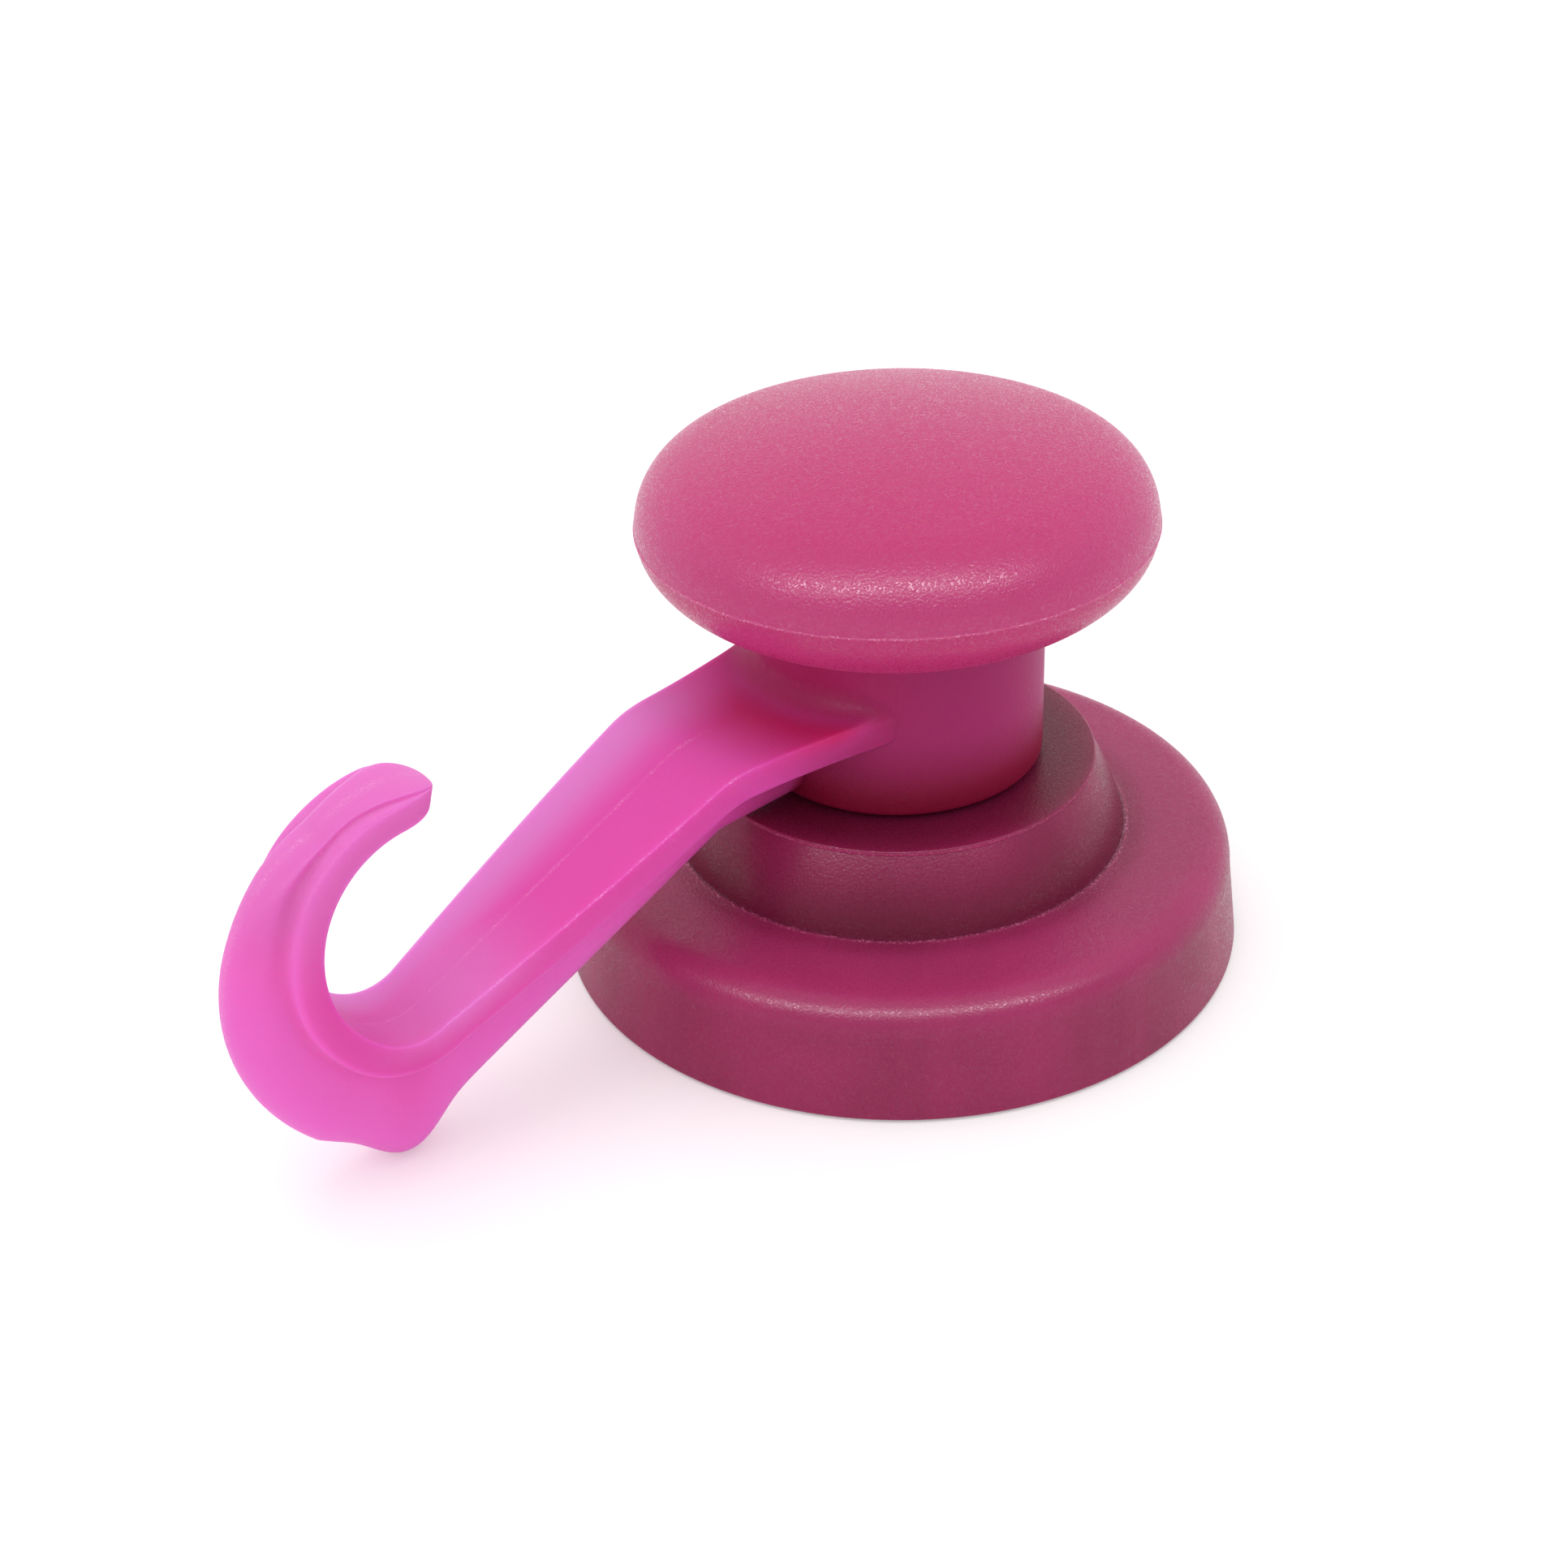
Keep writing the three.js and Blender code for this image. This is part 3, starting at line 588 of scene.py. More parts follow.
def united(body, *cuts_and_joins):
    """Applies Booleans to a body one after another, and removes the pieces that they used.

    Where two surfaces met in one point, a Boolean leaves that point twice, so these are merged.
    """
    for piece, operation in cuts_and_joins:
        step = body.modifiers.new(operation.lower(), "BOOLEAN")
        step.operation = operation
        step.solver = "EXACT"
        step.object = piece
        bpy.context.view_layer.update()
        evaluated = body.evaluated_get(bpy.context.evaluated_depsgraph_get())
        mesh = bpy.data.meshes.new_from_object(evaluated)
        body.modifiers.clear()
        body.data = mesh
        bpy.data.objects.remove(piece)
    merged = bmesh.new()
    merged.from_mesh(body.data)
    bmesh.ops.remove_doubles(merged, verts=merged.verts, dist=SAME_POINT)
    merged.to_mesh(body.data)
    merged.free()
    smooth(body.data)
    return body


# %% Collar, bore and union
COLLAR_FOOT_ROUND, COLLAR_HEAD_ROUND, BORE_LIP, BORE_OVERRUN = 0.45, 0.3, 0.25, 1.0
collar_foot, collar_head = (COLLAR_RADIUS, COLLAR_BOTTOM), (COLLAR_RADIUS, COLLAR_TOP)
side_start = (COLLAR_RADIUS, COLLAR_BOTTOM + COLLAR_FOOT_ROUND)
side_end = (COLLAR_RADIUS, COLLAR_TOP - COLLAR_HEAD_ROUND)
collar = turned("hook_body", joined(
    [(0, COLLAR_BOTTOM)],
    rounded((0, COLLAR_BOTTOM), collar_foot, collar_head, COLLAR_FOOT_ROUND),
    straight(side_start, side_end, steps=24),
    rounded(collar_foot, collar_head, (0, COLLAR_TOP), COLLAR_HEAD_ROUND),
    [(0, COLLAR_TOP)],
))
bore_start, bore_end = COLLAR_BOTTOM - BORE_OVERRUN, COLLAR_TOP + BORE_OVERRUN
lip_radius = COLLAR_BORE + BORE_LIP
bore = turned("bore_blank", joined(
    [(0, bore_start), (lip_radius, bore_start), (lip_radius, COLLAR_BOTTOM)],
    straight((COLLAR_BORE, COLLAR_BOTTOM + BORE_LIP), (COLLAR_BORE, COLLAR_TOP - BORE_LIP), steps=12),
    [(lip_radius, COLLAR_TOP), (lip_radius, bore_end), (0, bore_end)],
))
hook = united(collar, (hook_arm(), "UNION"), (bore, "DIFFERENCE"))
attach(hook, "hook")
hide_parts("hook")
print("hook_body:", len(hook.data.polygons), "faces")

# %% [markdown]
# ## Masks that know the shape
# A mould leaves marks in known places: a hair of plastic where its halves meet, and edges
# that are touched and rubbed more than the faces. A texture can't know where these are, so
# each point of a mesh gets a number for it, worked out from its place. The materials read
# these numbers as attributes. "line" is 1 on a mould line. The other masks paint light and
# shade into the colour: "painted_shade" is 1 where painted shade darkens the plastic, "root"
# is 1 where painted shade deepens the arm beside the collar, under the knob, "painted_light"
# is 1 where a paler painted glow stands for light coming through, and "painted_backlight" is
# 1 where a lilac painted backlight stands for light from behind.

# %% Mask helpers


def points_of(piece):
    """Every point of a piece, in millimetres, as one array."""
    points = np.empty(len(piece.data.vertices) * 3)
    piece.data.vertices.foreach_get("co", points)
    return points.reshape(-1, 3) / MILLIMETRE


def paint(piece, name, values):
    """Stores one number from 0 to 1 for each point of a piece."""
    layer = piece.data.attributes.new(name, "FLOAT", "POINT")
    layer.data.foreach_set("value", np.clip(values, 0, 1).astype(np.float32))
    print(f"{piece.name}: {name} covers {100 * float(np.mean(values > 0.5)):.1f}% of the points")


def bump_at(value, middle, width):
    """exp(-((v - m) / w)^2): 1 at the middle, and almost nothing two widths away."""
    return np.exp(-(((value - middle) / width) ** 2))


def faded(value, start, length):
    """Eases from 0 at a start to 1 a length further on. A length below 0 goes downwards."""
    return ease((value - start) / length)


# %% [markdown]
# On the turned pieces a place is a radius and a height. The flash of the housing lies at the
# foot and at the top edge of its boss. The boss has painted shade: its side darker towards its
# foot, and its top darker under the knob. The shoulder towards the rim is painted a little
# paler, as painted light from above, and so is the knob just above its widest circle, as a
# band of painted glow.

# %% Masks of the turned pieces
spots = points_of(housing)
radius, height = np.hypot(spots[:, 0], spots[:, 1]), spots[:, 2]
outside_boss = BOSS_FOOT_RADIUS + 0.1
foot_line = bump_at(radius, outside_boss, width=0.12) * bump_at(height, BOSS_FOOT, width=0.3)
top_line = bump_at(radius, BOSS_RADIUS, width=0.2) * bump_at(height, BOSS_TOP - 0.17, width=0.07)
paint(housing, "line", foot_line + top_line)
# Painted light: the shoulder is painted paler, as if lit from above.
shoulder = faded(height, RIM_START, RIM_TOP - RIM_START) * faded(radius, BOSS_FOOT_RADIUS, 2)
paint(housing, "painted_light", 0.5 * shoulder)
# Painted shade: the boss's side is painted darker towards its foot, and its top darker under the knob.
boss_side = faded(height, BOSS_TOP, BOSS_FOOT - BOSS_TOP) * (radius < outside_boss) * (height > BOSS_FOOT)
boss_roof = faded(radius, BOSS_RADIUS + 1, -3) * (height > BOSS_TOP - 0.1)
paint(housing, "painted_shade", 0.85 * boss_side + 0.7 * boss_roof)

spots = points_of(knob)
radius, height = np.hypot(spots[:, 0], spots[:, 1]), spots[:, 2]
paint(knob, "line", bump_at(height, KNOB_EQUATOR, width=0.06) * (radius > KNOB_RADIUS - 1))
# Painted glow: a paler band on the knob's edge, just above its widest circle.
paint(knob, "painted_light", 0.25 * bump_at(radius, KNOB_RADIUS, width=2.5) * (height > KNOB_EQUATOR))

# %% [markdown]
# On the hook a place is measured from its nearest station: how deep it lies below the loaded
# face, and how far across. The strip's edges, the rib's crest and the fold of the valley
# carry broken lines. The far half of the arm, the trough over the heel and the slim end of
# the bowl get a lilac painted backlight, the rib gets a paler painted glow along its crest,
# and the collar and the arm's root get painted shade where they lie under the knob.

# %% Places on the hook


def hook_places(piece):
    """For each point: its reach, height and side, distance from the axis, depth, and its station's sizes."""
    at = stations()
    spots = points_of(piece)
    flat = np.stack([-spots[:, 0], spots[:, 2]], axis=-1)
    gap = flat[:, None, :] - at["spot"][None, ::2, :]
    nearest = 2 * np.argmin(np.einsum("ijk,ijk->ij", gap, gap), axis=1)
    return {
        "reach": flat[:, 0],
        "height": flat[:, 1],
        "side": spots[:, 1],
        "from_axis": np.hypot(spots[:, 0], spots[:, 1]),
        "depth": np.einsum("ij,ij->i", flat - at["spot"][nearest], at["down"][nearest]),
        "full_depth": at["depth"][nearest],
        "width": at["half_width"][nearest],
    }


# %% Masks of the hook


def broken_lines(on):
    """Lines on the strip's edges, the rib's crest and the valley's fold, from the elbow on."""
    across = np.abs(on["side"])
    edges = 0.8 * bump_at(across, on["width"], width=0.09) * bump_at(on["depth"], 0.0, width=0.1)
    crest = 0.5 * bump_at(across, 0, width=0.3) * (on["depth"] > 0.8 * on["full_depth"])
    fold = 0.6 * bump_at(across, 0, width=0.06) * bump_at(on["depth"], VALLEY, width=0.15)
    broken = 0.6 + 0.4 * np.sin(2.1 * on["reach"]) * np.sin(0.83 * on["reach"] + 1)
    lines = edges * (on["reach"] < BOWL_REACH) + crest + fold
    return lines * broken * faded(on["reach"], ELBOW[0] - 3, 3)


def painted_light_masks(on, loaded_face, far_half):
    """Painted light: a lilac painted backlight on the far half, the trough and the slim end, and a paler
    painted glow along the rib and in the trough.
    """
    trough = bump_at(on["reach"], 31.0, width=5.0) * loaded_face * faded(on["height"], 14, -6)
    bowl_start = BOWL_REACH - BOWL_HALF_LENGTH - 2
    slim_end = faded(on["height"], 13.0, 8) * faded(on["reach"], bowl_start, 2)
    # Painted backlight: lilac on the far half, the trough and the slim end, as if lit from behind.
    behind = 0.7 * far_half * faded(on["reach"], 8, 10)
    painted_backlight = np.maximum(behind, np.maximum(0.65 * trough, 0.4 * slim_end))
    # Painted glow: the rib is painted paler along its crest, and the trough too.
    crest = faded(on["depth"] / on["full_depth"], 0.12, 0.35) * faded(on["reach"], 12, 14)
    return painted_backlight, np.maximum(0.6 * trough, 0.9 * crest) * (1 - 0.7 * slim_end)


def painted_shade_masks(on, loaded_face, far_half):
    """Painted shade: deep red on the root of the loaded face beside the collar, under the knob, and darker on
    the collar, more so downwards, and on the arm's side and rib near it.
    """
    away = faded(on["from_axis"], COLLAR_RADIUS, 2.5)
    near_collar = faded(on["from_axis"], 16.0, -6.5)
    # Painted shade: the collar's side towards the arm, high up, gets the arm's deep red.
    arm_side_shade = faded(on["reach"] / on["from_axis"], 0.35, 0.6) * faded(on["height"], 16.5, 3)
    # Painted shade: the root of the loaded face beside the collar, under the knob, is painted deep red.
    root = 0.85 * away * near_collar * loaded_face * (1 - 0.85 * far_half)
    # Painted shade: the collar is painted darker, more so towards its foot.
    collar = mixed(0.68, 1.0, faded(on["height"], 18, -5)) * (1 - away) * (1 - 0.2 * arm_side_shade)
    painted_shade = np.maximum(collar, 0.6 * near_collar * (1 - loaded_face))
    return np.maximum(root, 0.5 * arm_side_shade * (1 - away)), painted_shade


on_hook = hook_places(hook)
on_arm = on_hook["from_axis"] > COLLAR_RADIUS + 0.3
loaded_face = faded(on_hook["depth"], 1.1, -1.0)
far_half = faded(on_hook["side"] / on_hook["width"], -0.05, 0.9) * loaded_face
painted_backlight, painted_light = painted_light_masks(on_hook, loaded_face, far_half)
root, painted_shade = painted_shade_masks(on_hook, loaded_face, far_half)
paint(hook, "line", broken_lines(on_hook) * on_arm)
paint(hook, "painted_backlight", painted_backlight * on_arm)
paint(hook, "painted_light", painted_light * on_arm)
paint(hook, "root", root)
paint(hook, "painted_shade", painted_shade)

# %% [markdown]
# ## Shared effects
# All three mouldings were pulled from eroded moulds, so they share a fine grain. Sparse dots
# of it are polished by use, and a highlight breaks up into specks on them. Polypropylene
# also clouds a little as it flows and cools. Both effects are built once, as a node group
# with named sockets, and each material gives the group its own values. The groups put out
# only masks and heights. The shader stays in the material.

# %% Node helpers


def wire(tree, output, target):
    """Joins an output socket to an input socket."""
    tree.links.new(output, target)


def group_of(name, inputs, outputs):
    """A shader node group with named number inputs, with their starting values, and named outputs."""
    tree = bpy.data.node_groups.new(name, "ShaderNodeTree")
    for label, start in inputs.items():
        socket = tree.interface.new_socket(name=label, in_out="INPUT", socket_type="NodeSocketFloat")
        socket.default_value = start
    for label in outputs:
        tree.interface.new_socket(name=label, in_out="OUTPUT", socket_type="NodeSocketFloat")
    return tree, tree.nodes.new("NodeGroupInput"), tree.nodes.new("NodeGroupOutput")


def math_node(tree, operation, first, second=None):
    """A Math node: each input is a socket or a number."""
    node = tree.nodes.new("ShaderNodeMath")
    node.operation = operation
    for index, value in enumerate((first, second)):
        if isinstance(value, bpy.types.NodeSocket):
            wire(tree, value, node.inputs[index])
        elif value is not None:
            node.inputs[index].default_value = value
    return node.outputs["Value"]


def noise_node(tree, place, scale, detail=2.0, roughness=0.5):
    """A Noise Texture read at a place: scale is a socket or a number, per metre."""
    node = tree.nodes.new("ShaderNodeTexNoise")
    node.inputs["Detail"].default_value = detail
    node.inputs["Roughness"].default_value = roughness
    wire(tree, place, node.inputs["Vector"])
    if isinstance(scale, bpy.types.NodeSocket):
        wire(tree, scale, node.inputs["Scale"])
    else:
        node.inputs["Scale"].default_value = scale
    return node.outputs["Fac"]


def object_place(tree):
    """The place that is shaded, on its own object, so that a pattern moves with the piece."""
    return tree.nodes.new("ShaderNodeTexCoord").outputs["Object"]


# %% [markdown]
# The grain is a field of shallow domes, one for each Voronoi cell, with finer noise on top:
# its height falls with the square of the distance from the middle of a cell. A speck is
# where a second noise is high, so the specks lie sparse and uneven over the grains.

# %% Eroded grain
grain_tree, grain_in, grain_out = group_of("Eroded Grain", {"Grains per Metre": 3500.0}, ["Height", "Speck"])
grains_per_metre, place = grain_in.outputs["Grains per Metre"], object_place(grain_tree)
DOME_SHARE, FINE_SHARE, DOTS_PER_GRAIN, SPECK_LEVEL = -0.9, 0.8, 1.2, 0.59
cells = grain_tree.nodes.new("ShaderNodeTexVoronoi")
wire(grain_tree, place, cells.inputs["Vector"])
wire(grain_tree, grains_per_metre, cells.inputs["Scale"])
squared = math_node(grain_tree, "POWER", cells.outputs["Distance"], 2.0)
domes = math_node(grain_tree, "MULTIPLY", squared, DOME_SHARE)
fine_noise = noise_node(grain_tree, place, grains_per_metre, detail=2.0, roughness=0.6)
fine = math_node(grain_tree, "MULTIPLY", fine_noise, FINE_SHARE)
wire(grain_tree, math_node(grain_tree, "ADD", domes, fine), grain_out.inputs["Height"])
dots_per_metre = math_node(grain_tree, "MULTIPLY", grains_per_metre, DOTS_PER_GRAIN)
dots = noise_node(grain_tree, place, dots_per_metre, detail=1.0)
wire(grain_tree, math_node(grain_tree, "GREATER_THAN", dots, SPECK_LEVEL), grain_out.inputs["Speck"])
print("Eroded Grain:", len(grain_tree.nodes), "nodes")

# %% [markdown]
# The clouds are soft noise. The streaks are the same noise read at places squeezed along Z,
# so that they run up a wall as the plastic did when it filled the mould.

# %% Flow clouds
cloud_tree, cloud_in, cloud_out = group_of(
    "Flow Clouds", {"Clouds per Metre": 90.0, "Stretch": 1.0}, ["Cloud", "Streak"])
clouds_per_metre, place = cloud_in.outputs["Clouds per Metre"], object_place(cloud_tree)
SQUEEZE, STREAKS_PER_CLOUD = (1.0, 1.0, 0.12), 3.0
cloud = noise_node(cloud_tree, place, clouds_per_metre, detail=3.0, roughness=0.55)
wire(cloud_tree, cloud, cloud_out.inputs["Cloud"])
squeezed = cloud_tree.nodes.new("ShaderNodeMapping")
squeezed.inputs["Scale"].default_value = SQUEEZE
wire(cloud_tree, place, squeezed.inputs["Vector"])
streaks_per_metre = math_node(cloud_tree, "MULTIPLY", clouds_per_metre, STREAKS_PER_CLOUD)
streak = noise_node(cloud_tree, squeezed.outputs["Vector"], streaks_per_metre, detail=2.0)
stretched = math_node(cloud_tree, "MULTIPLY", streak, cloud_in.outputs["Stretch"])
wire(cloud_tree, stretched, cloud_out.inputs["Streak"])
print("Flow Clouds:", len(cloud_tree.nodes), "nodes")

# %% [markdown]
# ## Translucent polypropylene
# Light enters this plastic, scatters, and comes out a few millimetres away, so shadows fill
# with colour and thin parts glow. A glossy paint would look hard and heavy. The Principled
# shader's subsurface part does what the plastic does. Each moulding has a body colour with
# clouds of a deeper one, a layer of painted light or painted shade for each of its masks, and
# a paler colour for the specks on its mould lines. The polished dots get a thin coat, so that
# they glint.

# %% Polypropylene material


def linear(red, green, blue):
    """Screen colour from 0 to 255 as the linear colour that shaders use: ((c + 0.055) / 1.055)^2.4."""
    screen = np.array([red, green, blue]) / 255
    light = np.where(screen <= 0.04045, screen / 12.92, ((screen + 0.055) / 1.055) ** 2.4)
    return (*(float(value) for value in light), 1.0)


def colour_mix(tree, share, first, second):
    """Mixes two colours, each a socket or a value, by a share."""
    node = tree.nodes.new("ShaderNodeMix")
    node.data_type = "RGBA"
    wire(tree, share, node.inputs["Factor"])
    for socket, value in ((node.inputs[6], first), (node.inputs[7], second)):
        if isinstance(value, bpy.types.NodeSocket):
            wire(tree, value, socket)
        else:
            socket.default_value = value
    return node.outputs[2]


def attribute_of(tree, name):
    """The number that paint() stored under a name."""
    node = tree.nodes.new("ShaderNodeAttribute")
    node.attribute_name = name
    return node.outputs["Fac"]


def new_finish(name):
    """A material, its node tree and its Principled shader."""
    material = bpy.data.materials.new(name)
    material.use_nodes = True
    return material, material.node_tree, material.node_tree.nodes["Principled BSDF"]


def placed(tree, group, values):
    """Places a node group in a material with the material's own values, and gives its outputs."""
    node = tree.nodes.new("ShaderNodeGroup")
    node.node_tree = group
    set_values(node, values)
    return node.outputs


def set_values(node, values):
    """Writes plain numbers and colours on a node's own sockets."""
    for label, value in values.items():
        node.inputs[label].default_value = value


def emboss(tree, shader, height, strength, distance):
    """A bump from a height, whose full height is a distance in millimetres."""
    bump = tree.nodes.new("ShaderNodeBump")
    set_values(bump, {"Strength": strength, "Distance": distance * MILLIMETRE})
    wire(tree, height, bump.inputs["Height"])
    wire(tree, bump.outputs["Normal"], shader.inputs["Normal"])


# %% [markdown]
# The colour is built in order: body, clouds, layers, flecks. What changes over the surface
# is wired to the shader: colour, roughness, coat weight and normal. What is the same all
# over is written on the shader's own sockets.

# %% Polypropylene
CLOUD_MIDDLE, FLECK_ON_SPECK, FLECK_BETWEEN, POLISH, GRAIN_HEIGHT = 0.35, 0.75, 0.15, -0.14, 0.045
COAT_ROUGHNESS, REFRACTION, REACH_BY_COLOUR = 0.2, 1.49, (1.0, 0.8, 0.95)


def moulded_colour(tree, grain, body, deep, layers, fleck, look):
    """Body colour, clouds of a deeper one, a layer of painted light or painted shade for each mask, and
    flecked lines.
    """
    clouds = placed(tree, cloud_tree, {"Clouds per Metre": look["clouds"], "Stretch": look["streaks"]})
    patches = math_node(tree, "ADD", clouds["Cloud"], clouds["Streak"])
    past_middle = math_node(tree, "SUBTRACT", patches, CLOUD_MIDDLE)
    depth = math_node(tree, "MULTIPLY", past_middle, look["cloudiness"])
    colour = colour_mix(tree, depth, body, deep)
    for mask, tint in layers.items():
        colour = colour_mix(tree, attribute_of(tree, mask), colour, tint)
    on_specks = math_node(tree, "MULTIPLY", grain["Speck"], FLECK_ON_SPECK)
    speckled = math_node(tree, "ADD", on_specks, FLECK_BETWEEN)
    flecked = math_node(tree, "MULTIPLY", attribute_of(tree, "line"), speckled)
    return colour_mix(tree, flecked, colour, fleck)


def polypropylene(name, body, deep, layers, fleck, look):
    """A grained, clouded and translucent moulding, with glints on its polished dots."""
    material, tree, shader = new_finish(name)
    grain = placed(tree, grain_tree, {"Grains per Metre": look["grains"]})
    colour = moulded_colour(tree, grain, body, deep, layers, fleck, look)
    wire(tree, colour, shader.inputs["Base Color"])
    polished = math_node(tree, "MULTIPLY", grain["Speck"], POLISH)
    wire(tree, math_node(tree, "ADD", polished, look["roughness"]), shader.inputs["Roughness"])
    wire(tree, math_node(tree, "MULTIPLY", grain["Speck"], look["sparkle"]), shader.inputs["Coat Weight"])
    emboss(tree, shader, grain["Height"], look["relief"], GRAIN_HEIGHT)
    set_values(shader, {
        "Coat Roughness": COAT_ROUGHNESS,
        "IOR": REFRACTION,
        "Specular IOR Level": look["gloss"],
        "Subsurface Weight": look["scatter"],
        "Subsurface Radius": REACH_BY_COLOUR,
        "Subsurface Scale": look["reach"] * MILLIMETRE,
    })
    return material


# %% [markdown]
# The knob is the glossiest, because hands polish it. The housing is darker and streaked, and
# the hook is the palest and most translucent, with hardly any gloss.

# %% The three colours
KNOB_LOOK = dict(grains=6500.0, clouds=80.0, streaks=0.1, cloudiness=0.5, roughness=0.32, relief=0.6,
                 gloss=0.26, sparkle=0.7, scatter=0.8, reach=1.4)
HOUSING_LOOK = dict(grains=6500.0, clouds=90.0, streaks=0.7, cloudiness=1.0, roughness=0.36, relief=0.35,
                    gloss=0.27, sparkle=0.35, scatter=0.5, reach=1.0)
HOOK_LOOK = dict(grains=6500.0, clouds=60.0, streaks=0.0, cloudiness=0.4, roughness=0.48, relief=0.3,
                 gloss=0.1, sparkle=0.06, scatter=1.0, reach=1.1)
finishes = {
    knob: polypropylene("knob_polypropylene", linear(199, 57, 121), linear(189, 49, 109),
                        # Knob: its paler layer is painted glow.
                        {"painted_light": linear(210, 100, 157)}, linear(240, 150, 188), KNOB_LOOK),
    housing: polypropylene("housing_polypropylene", linear(174, 46, 103), linear(132, 29, 71), {
        # Housing: its darkest layer is painted shade, its paler one painted light.
        "painted_shade": linear(110, 12, 52), "painted_light": linear(192, 66, 124)}, linear(226, 124, 168), HOUSING_LOOK),
    hook: polypropylene("hook_polypropylene", linear(227, 83, 176), linear(221, 73, 166), {
        # Hook: root and the dark layer are painted shade, the pale pink layer painted glow, the lilac one
        # painted backlight.
        "root": linear(204, 0, 80), "painted_shade": linear(136, 16, 54), "painted_light": linear(255, 118, 212),
        "painted_backlight": linear(224, 146, 216)}, linear(252, 180, 226), HOOK_LOOK),
}


def dress(piece, material):
    """Gives a piece one material in place of those it has."""
    piece.data.materials.clear()
    piece.data.materials.append(material)


for piece, material in finishes.items():
    dress(piece, material)
    print(piece.name, "is dressed in", material.name)

# %% [markdown]
# ## The hidden metal and ferrite
# A disc of ferrite does the pulling. A zinc-plated steel cup behind it turns the field
# towards the wall, and a washer and screw of the same steel hold the knob. They show only
# in a section or when the pad is off, so the CAD shapes stay, and get true finishes:
# ferrite is a dull grey ceramic with a pressed grain, and zinc plate is soft bright metal
# with blotches where its passivation dried.

# %% Metal, ferrite and vinyl
GRAINS_PER_CLOUD, ROUGHNESS_SWING, ROUGHNESS_DROP, PRESSED_HEIGHT = 12, 0.2, 0.12, 0.02


def plain_finish(name, first, second, roughness, metal, grains, relief):
    """Two tones in clouds many grains wide, with a bump of the grain, and no scattering."""
    material, tree, shader = new_finish(name)
    grain = placed(tree, grain_tree, {"Grains per Metre": grains})
    clouds = placed(tree, cloud_tree, {"Clouds per Metre": grains / GRAINS_PER_CLOUD})
    wire(tree, colour_mix(tree, clouds["Cloud"], first, second), shader.inputs["Base Color"])
    swing = math_node(tree, "MULTIPLY", grain["Height"], ROUGHNESS_SWING)
    rough = math_node(tree, "ADD", swing, roughness - ROUGHNESS_DROP)
    wire(tree, rough, shader.inputs["Roughness"])
    emboss(tree, shader, grain["Height"], relief, PRESSED_HEIGHT)
    shader.inputs["Metallic"].default_value = metal
    return material


zinc = plain_finish("zinc_plate", linear(196, 198, 200), linear(172, 176, 182), 0.34, 1.0, 2400.0, 0.25)
ferrite = plain_finish("ferrite", linear(58, 58, 62), linear(44, 44, 47), 0.7, 0.0, 5200.0, 0.7)
vinyl = plain_finish("face_vinyl", linear(40, 40, 43), linear(50, 50, 54), 0.72, 0.0, 3800.0, 0.8)
hidden = {"magnet_disc": ferrite, "backing_cup": zinc, "centre_screw": zinc, "screw_washer": zinc}
for node, material in hidden.items():
    dress(frame["nodes"][node], material)
    print(node, "is dressed in", material.name)
dress(pad, vinyl)

# %% [markdown]
# ## Floor, light and camera
# The photograph was taken on white, under a large soft light from above and behind. The
# floor is a plain pale sheet that keeps the object's shadow. The camera sees it a little
# brighter than it is, so that it comes out white without more light on the object.

# %% Floor
FLOOR_HALF_SIZE, FLOOR_GAP, FLOOR_SPANS = 1500.0, 0.02, 8
TO_CAMERA, TO_GLOSS = 0.25, 0.12
corners = FLOOR_SPANS + 1
edge_steps = np.linspace(-FLOOR_HALF_SIZE, FLOOR_HALF_SIZE, corners)
floor_x, floor_y = np.meshgrid(edge_steps, edge_steps, indexing="ij")
floor_points = np.stack([floor_x, floor_y, np.full_like(floor_x, -FLOOR_GAP)], axis=-1).reshape(-1, 3)
row, column = np.meshgrid(np.arange(FLOOR_SPANS), np.arange(FLOOR_SPANS), indexing="ij")
first_corner = (row * corners + column)[..., None]
floor_quads = (first_corner + [0, corners, corners + 1, 1]).reshape(-1, 4)
floor_mesh = bpy.data.meshes.new("floor")
floor_mesh.from_pydata((floor_points * MILLIMETRE).tolist(), [], floor_quads.tolist())
floor = bpy.data.objects.new("floor", floor_mesh)
bpy.context.scene.collection.objects.link(floor)
paper, paper_tree, paper_shader = new_finish("floor_paper")
set_values(paper_shader, {"Base Color": (0.9, 0.9, 0.9, 1), "Roughness": 0.9, "Specular IOR Level": 0.0})
paper_shader.inputs["Emission Color"].default_value = (1, 1, 1, 1)
paper_path = paper_tree.nodes.new("ShaderNodeLightPath")
to_camera = math_node(paper_tree, "MULTIPLY", paper_path.outputs["Is Camera Ray"], TO_CAMERA)
to_gloss = math_node(paper_tree, "MULTIPLY", paper_path.outputs["Is Glossy Ray"], TO_GLOSS)
wire(paper_tree, math_node(paper_tree, "ADD", to_camera, to_gloss), paper_shader.inputs["Emission Strength"])
dress(floor, paper)
print("floor:", 2 * FLOOR_HALF_SIZE, "mm wide")

# %% [markdown]
# The sky lights everything evenly, at a level where a colour renders about as it is written.
# The camera sees it as white. Reflections see it bright behind the object and dark on the
# camera's side, as in a room with a window behind the table. The strength of a reflected
# direction d falls smoothly with d . c, where c points to the camera's side at rest.

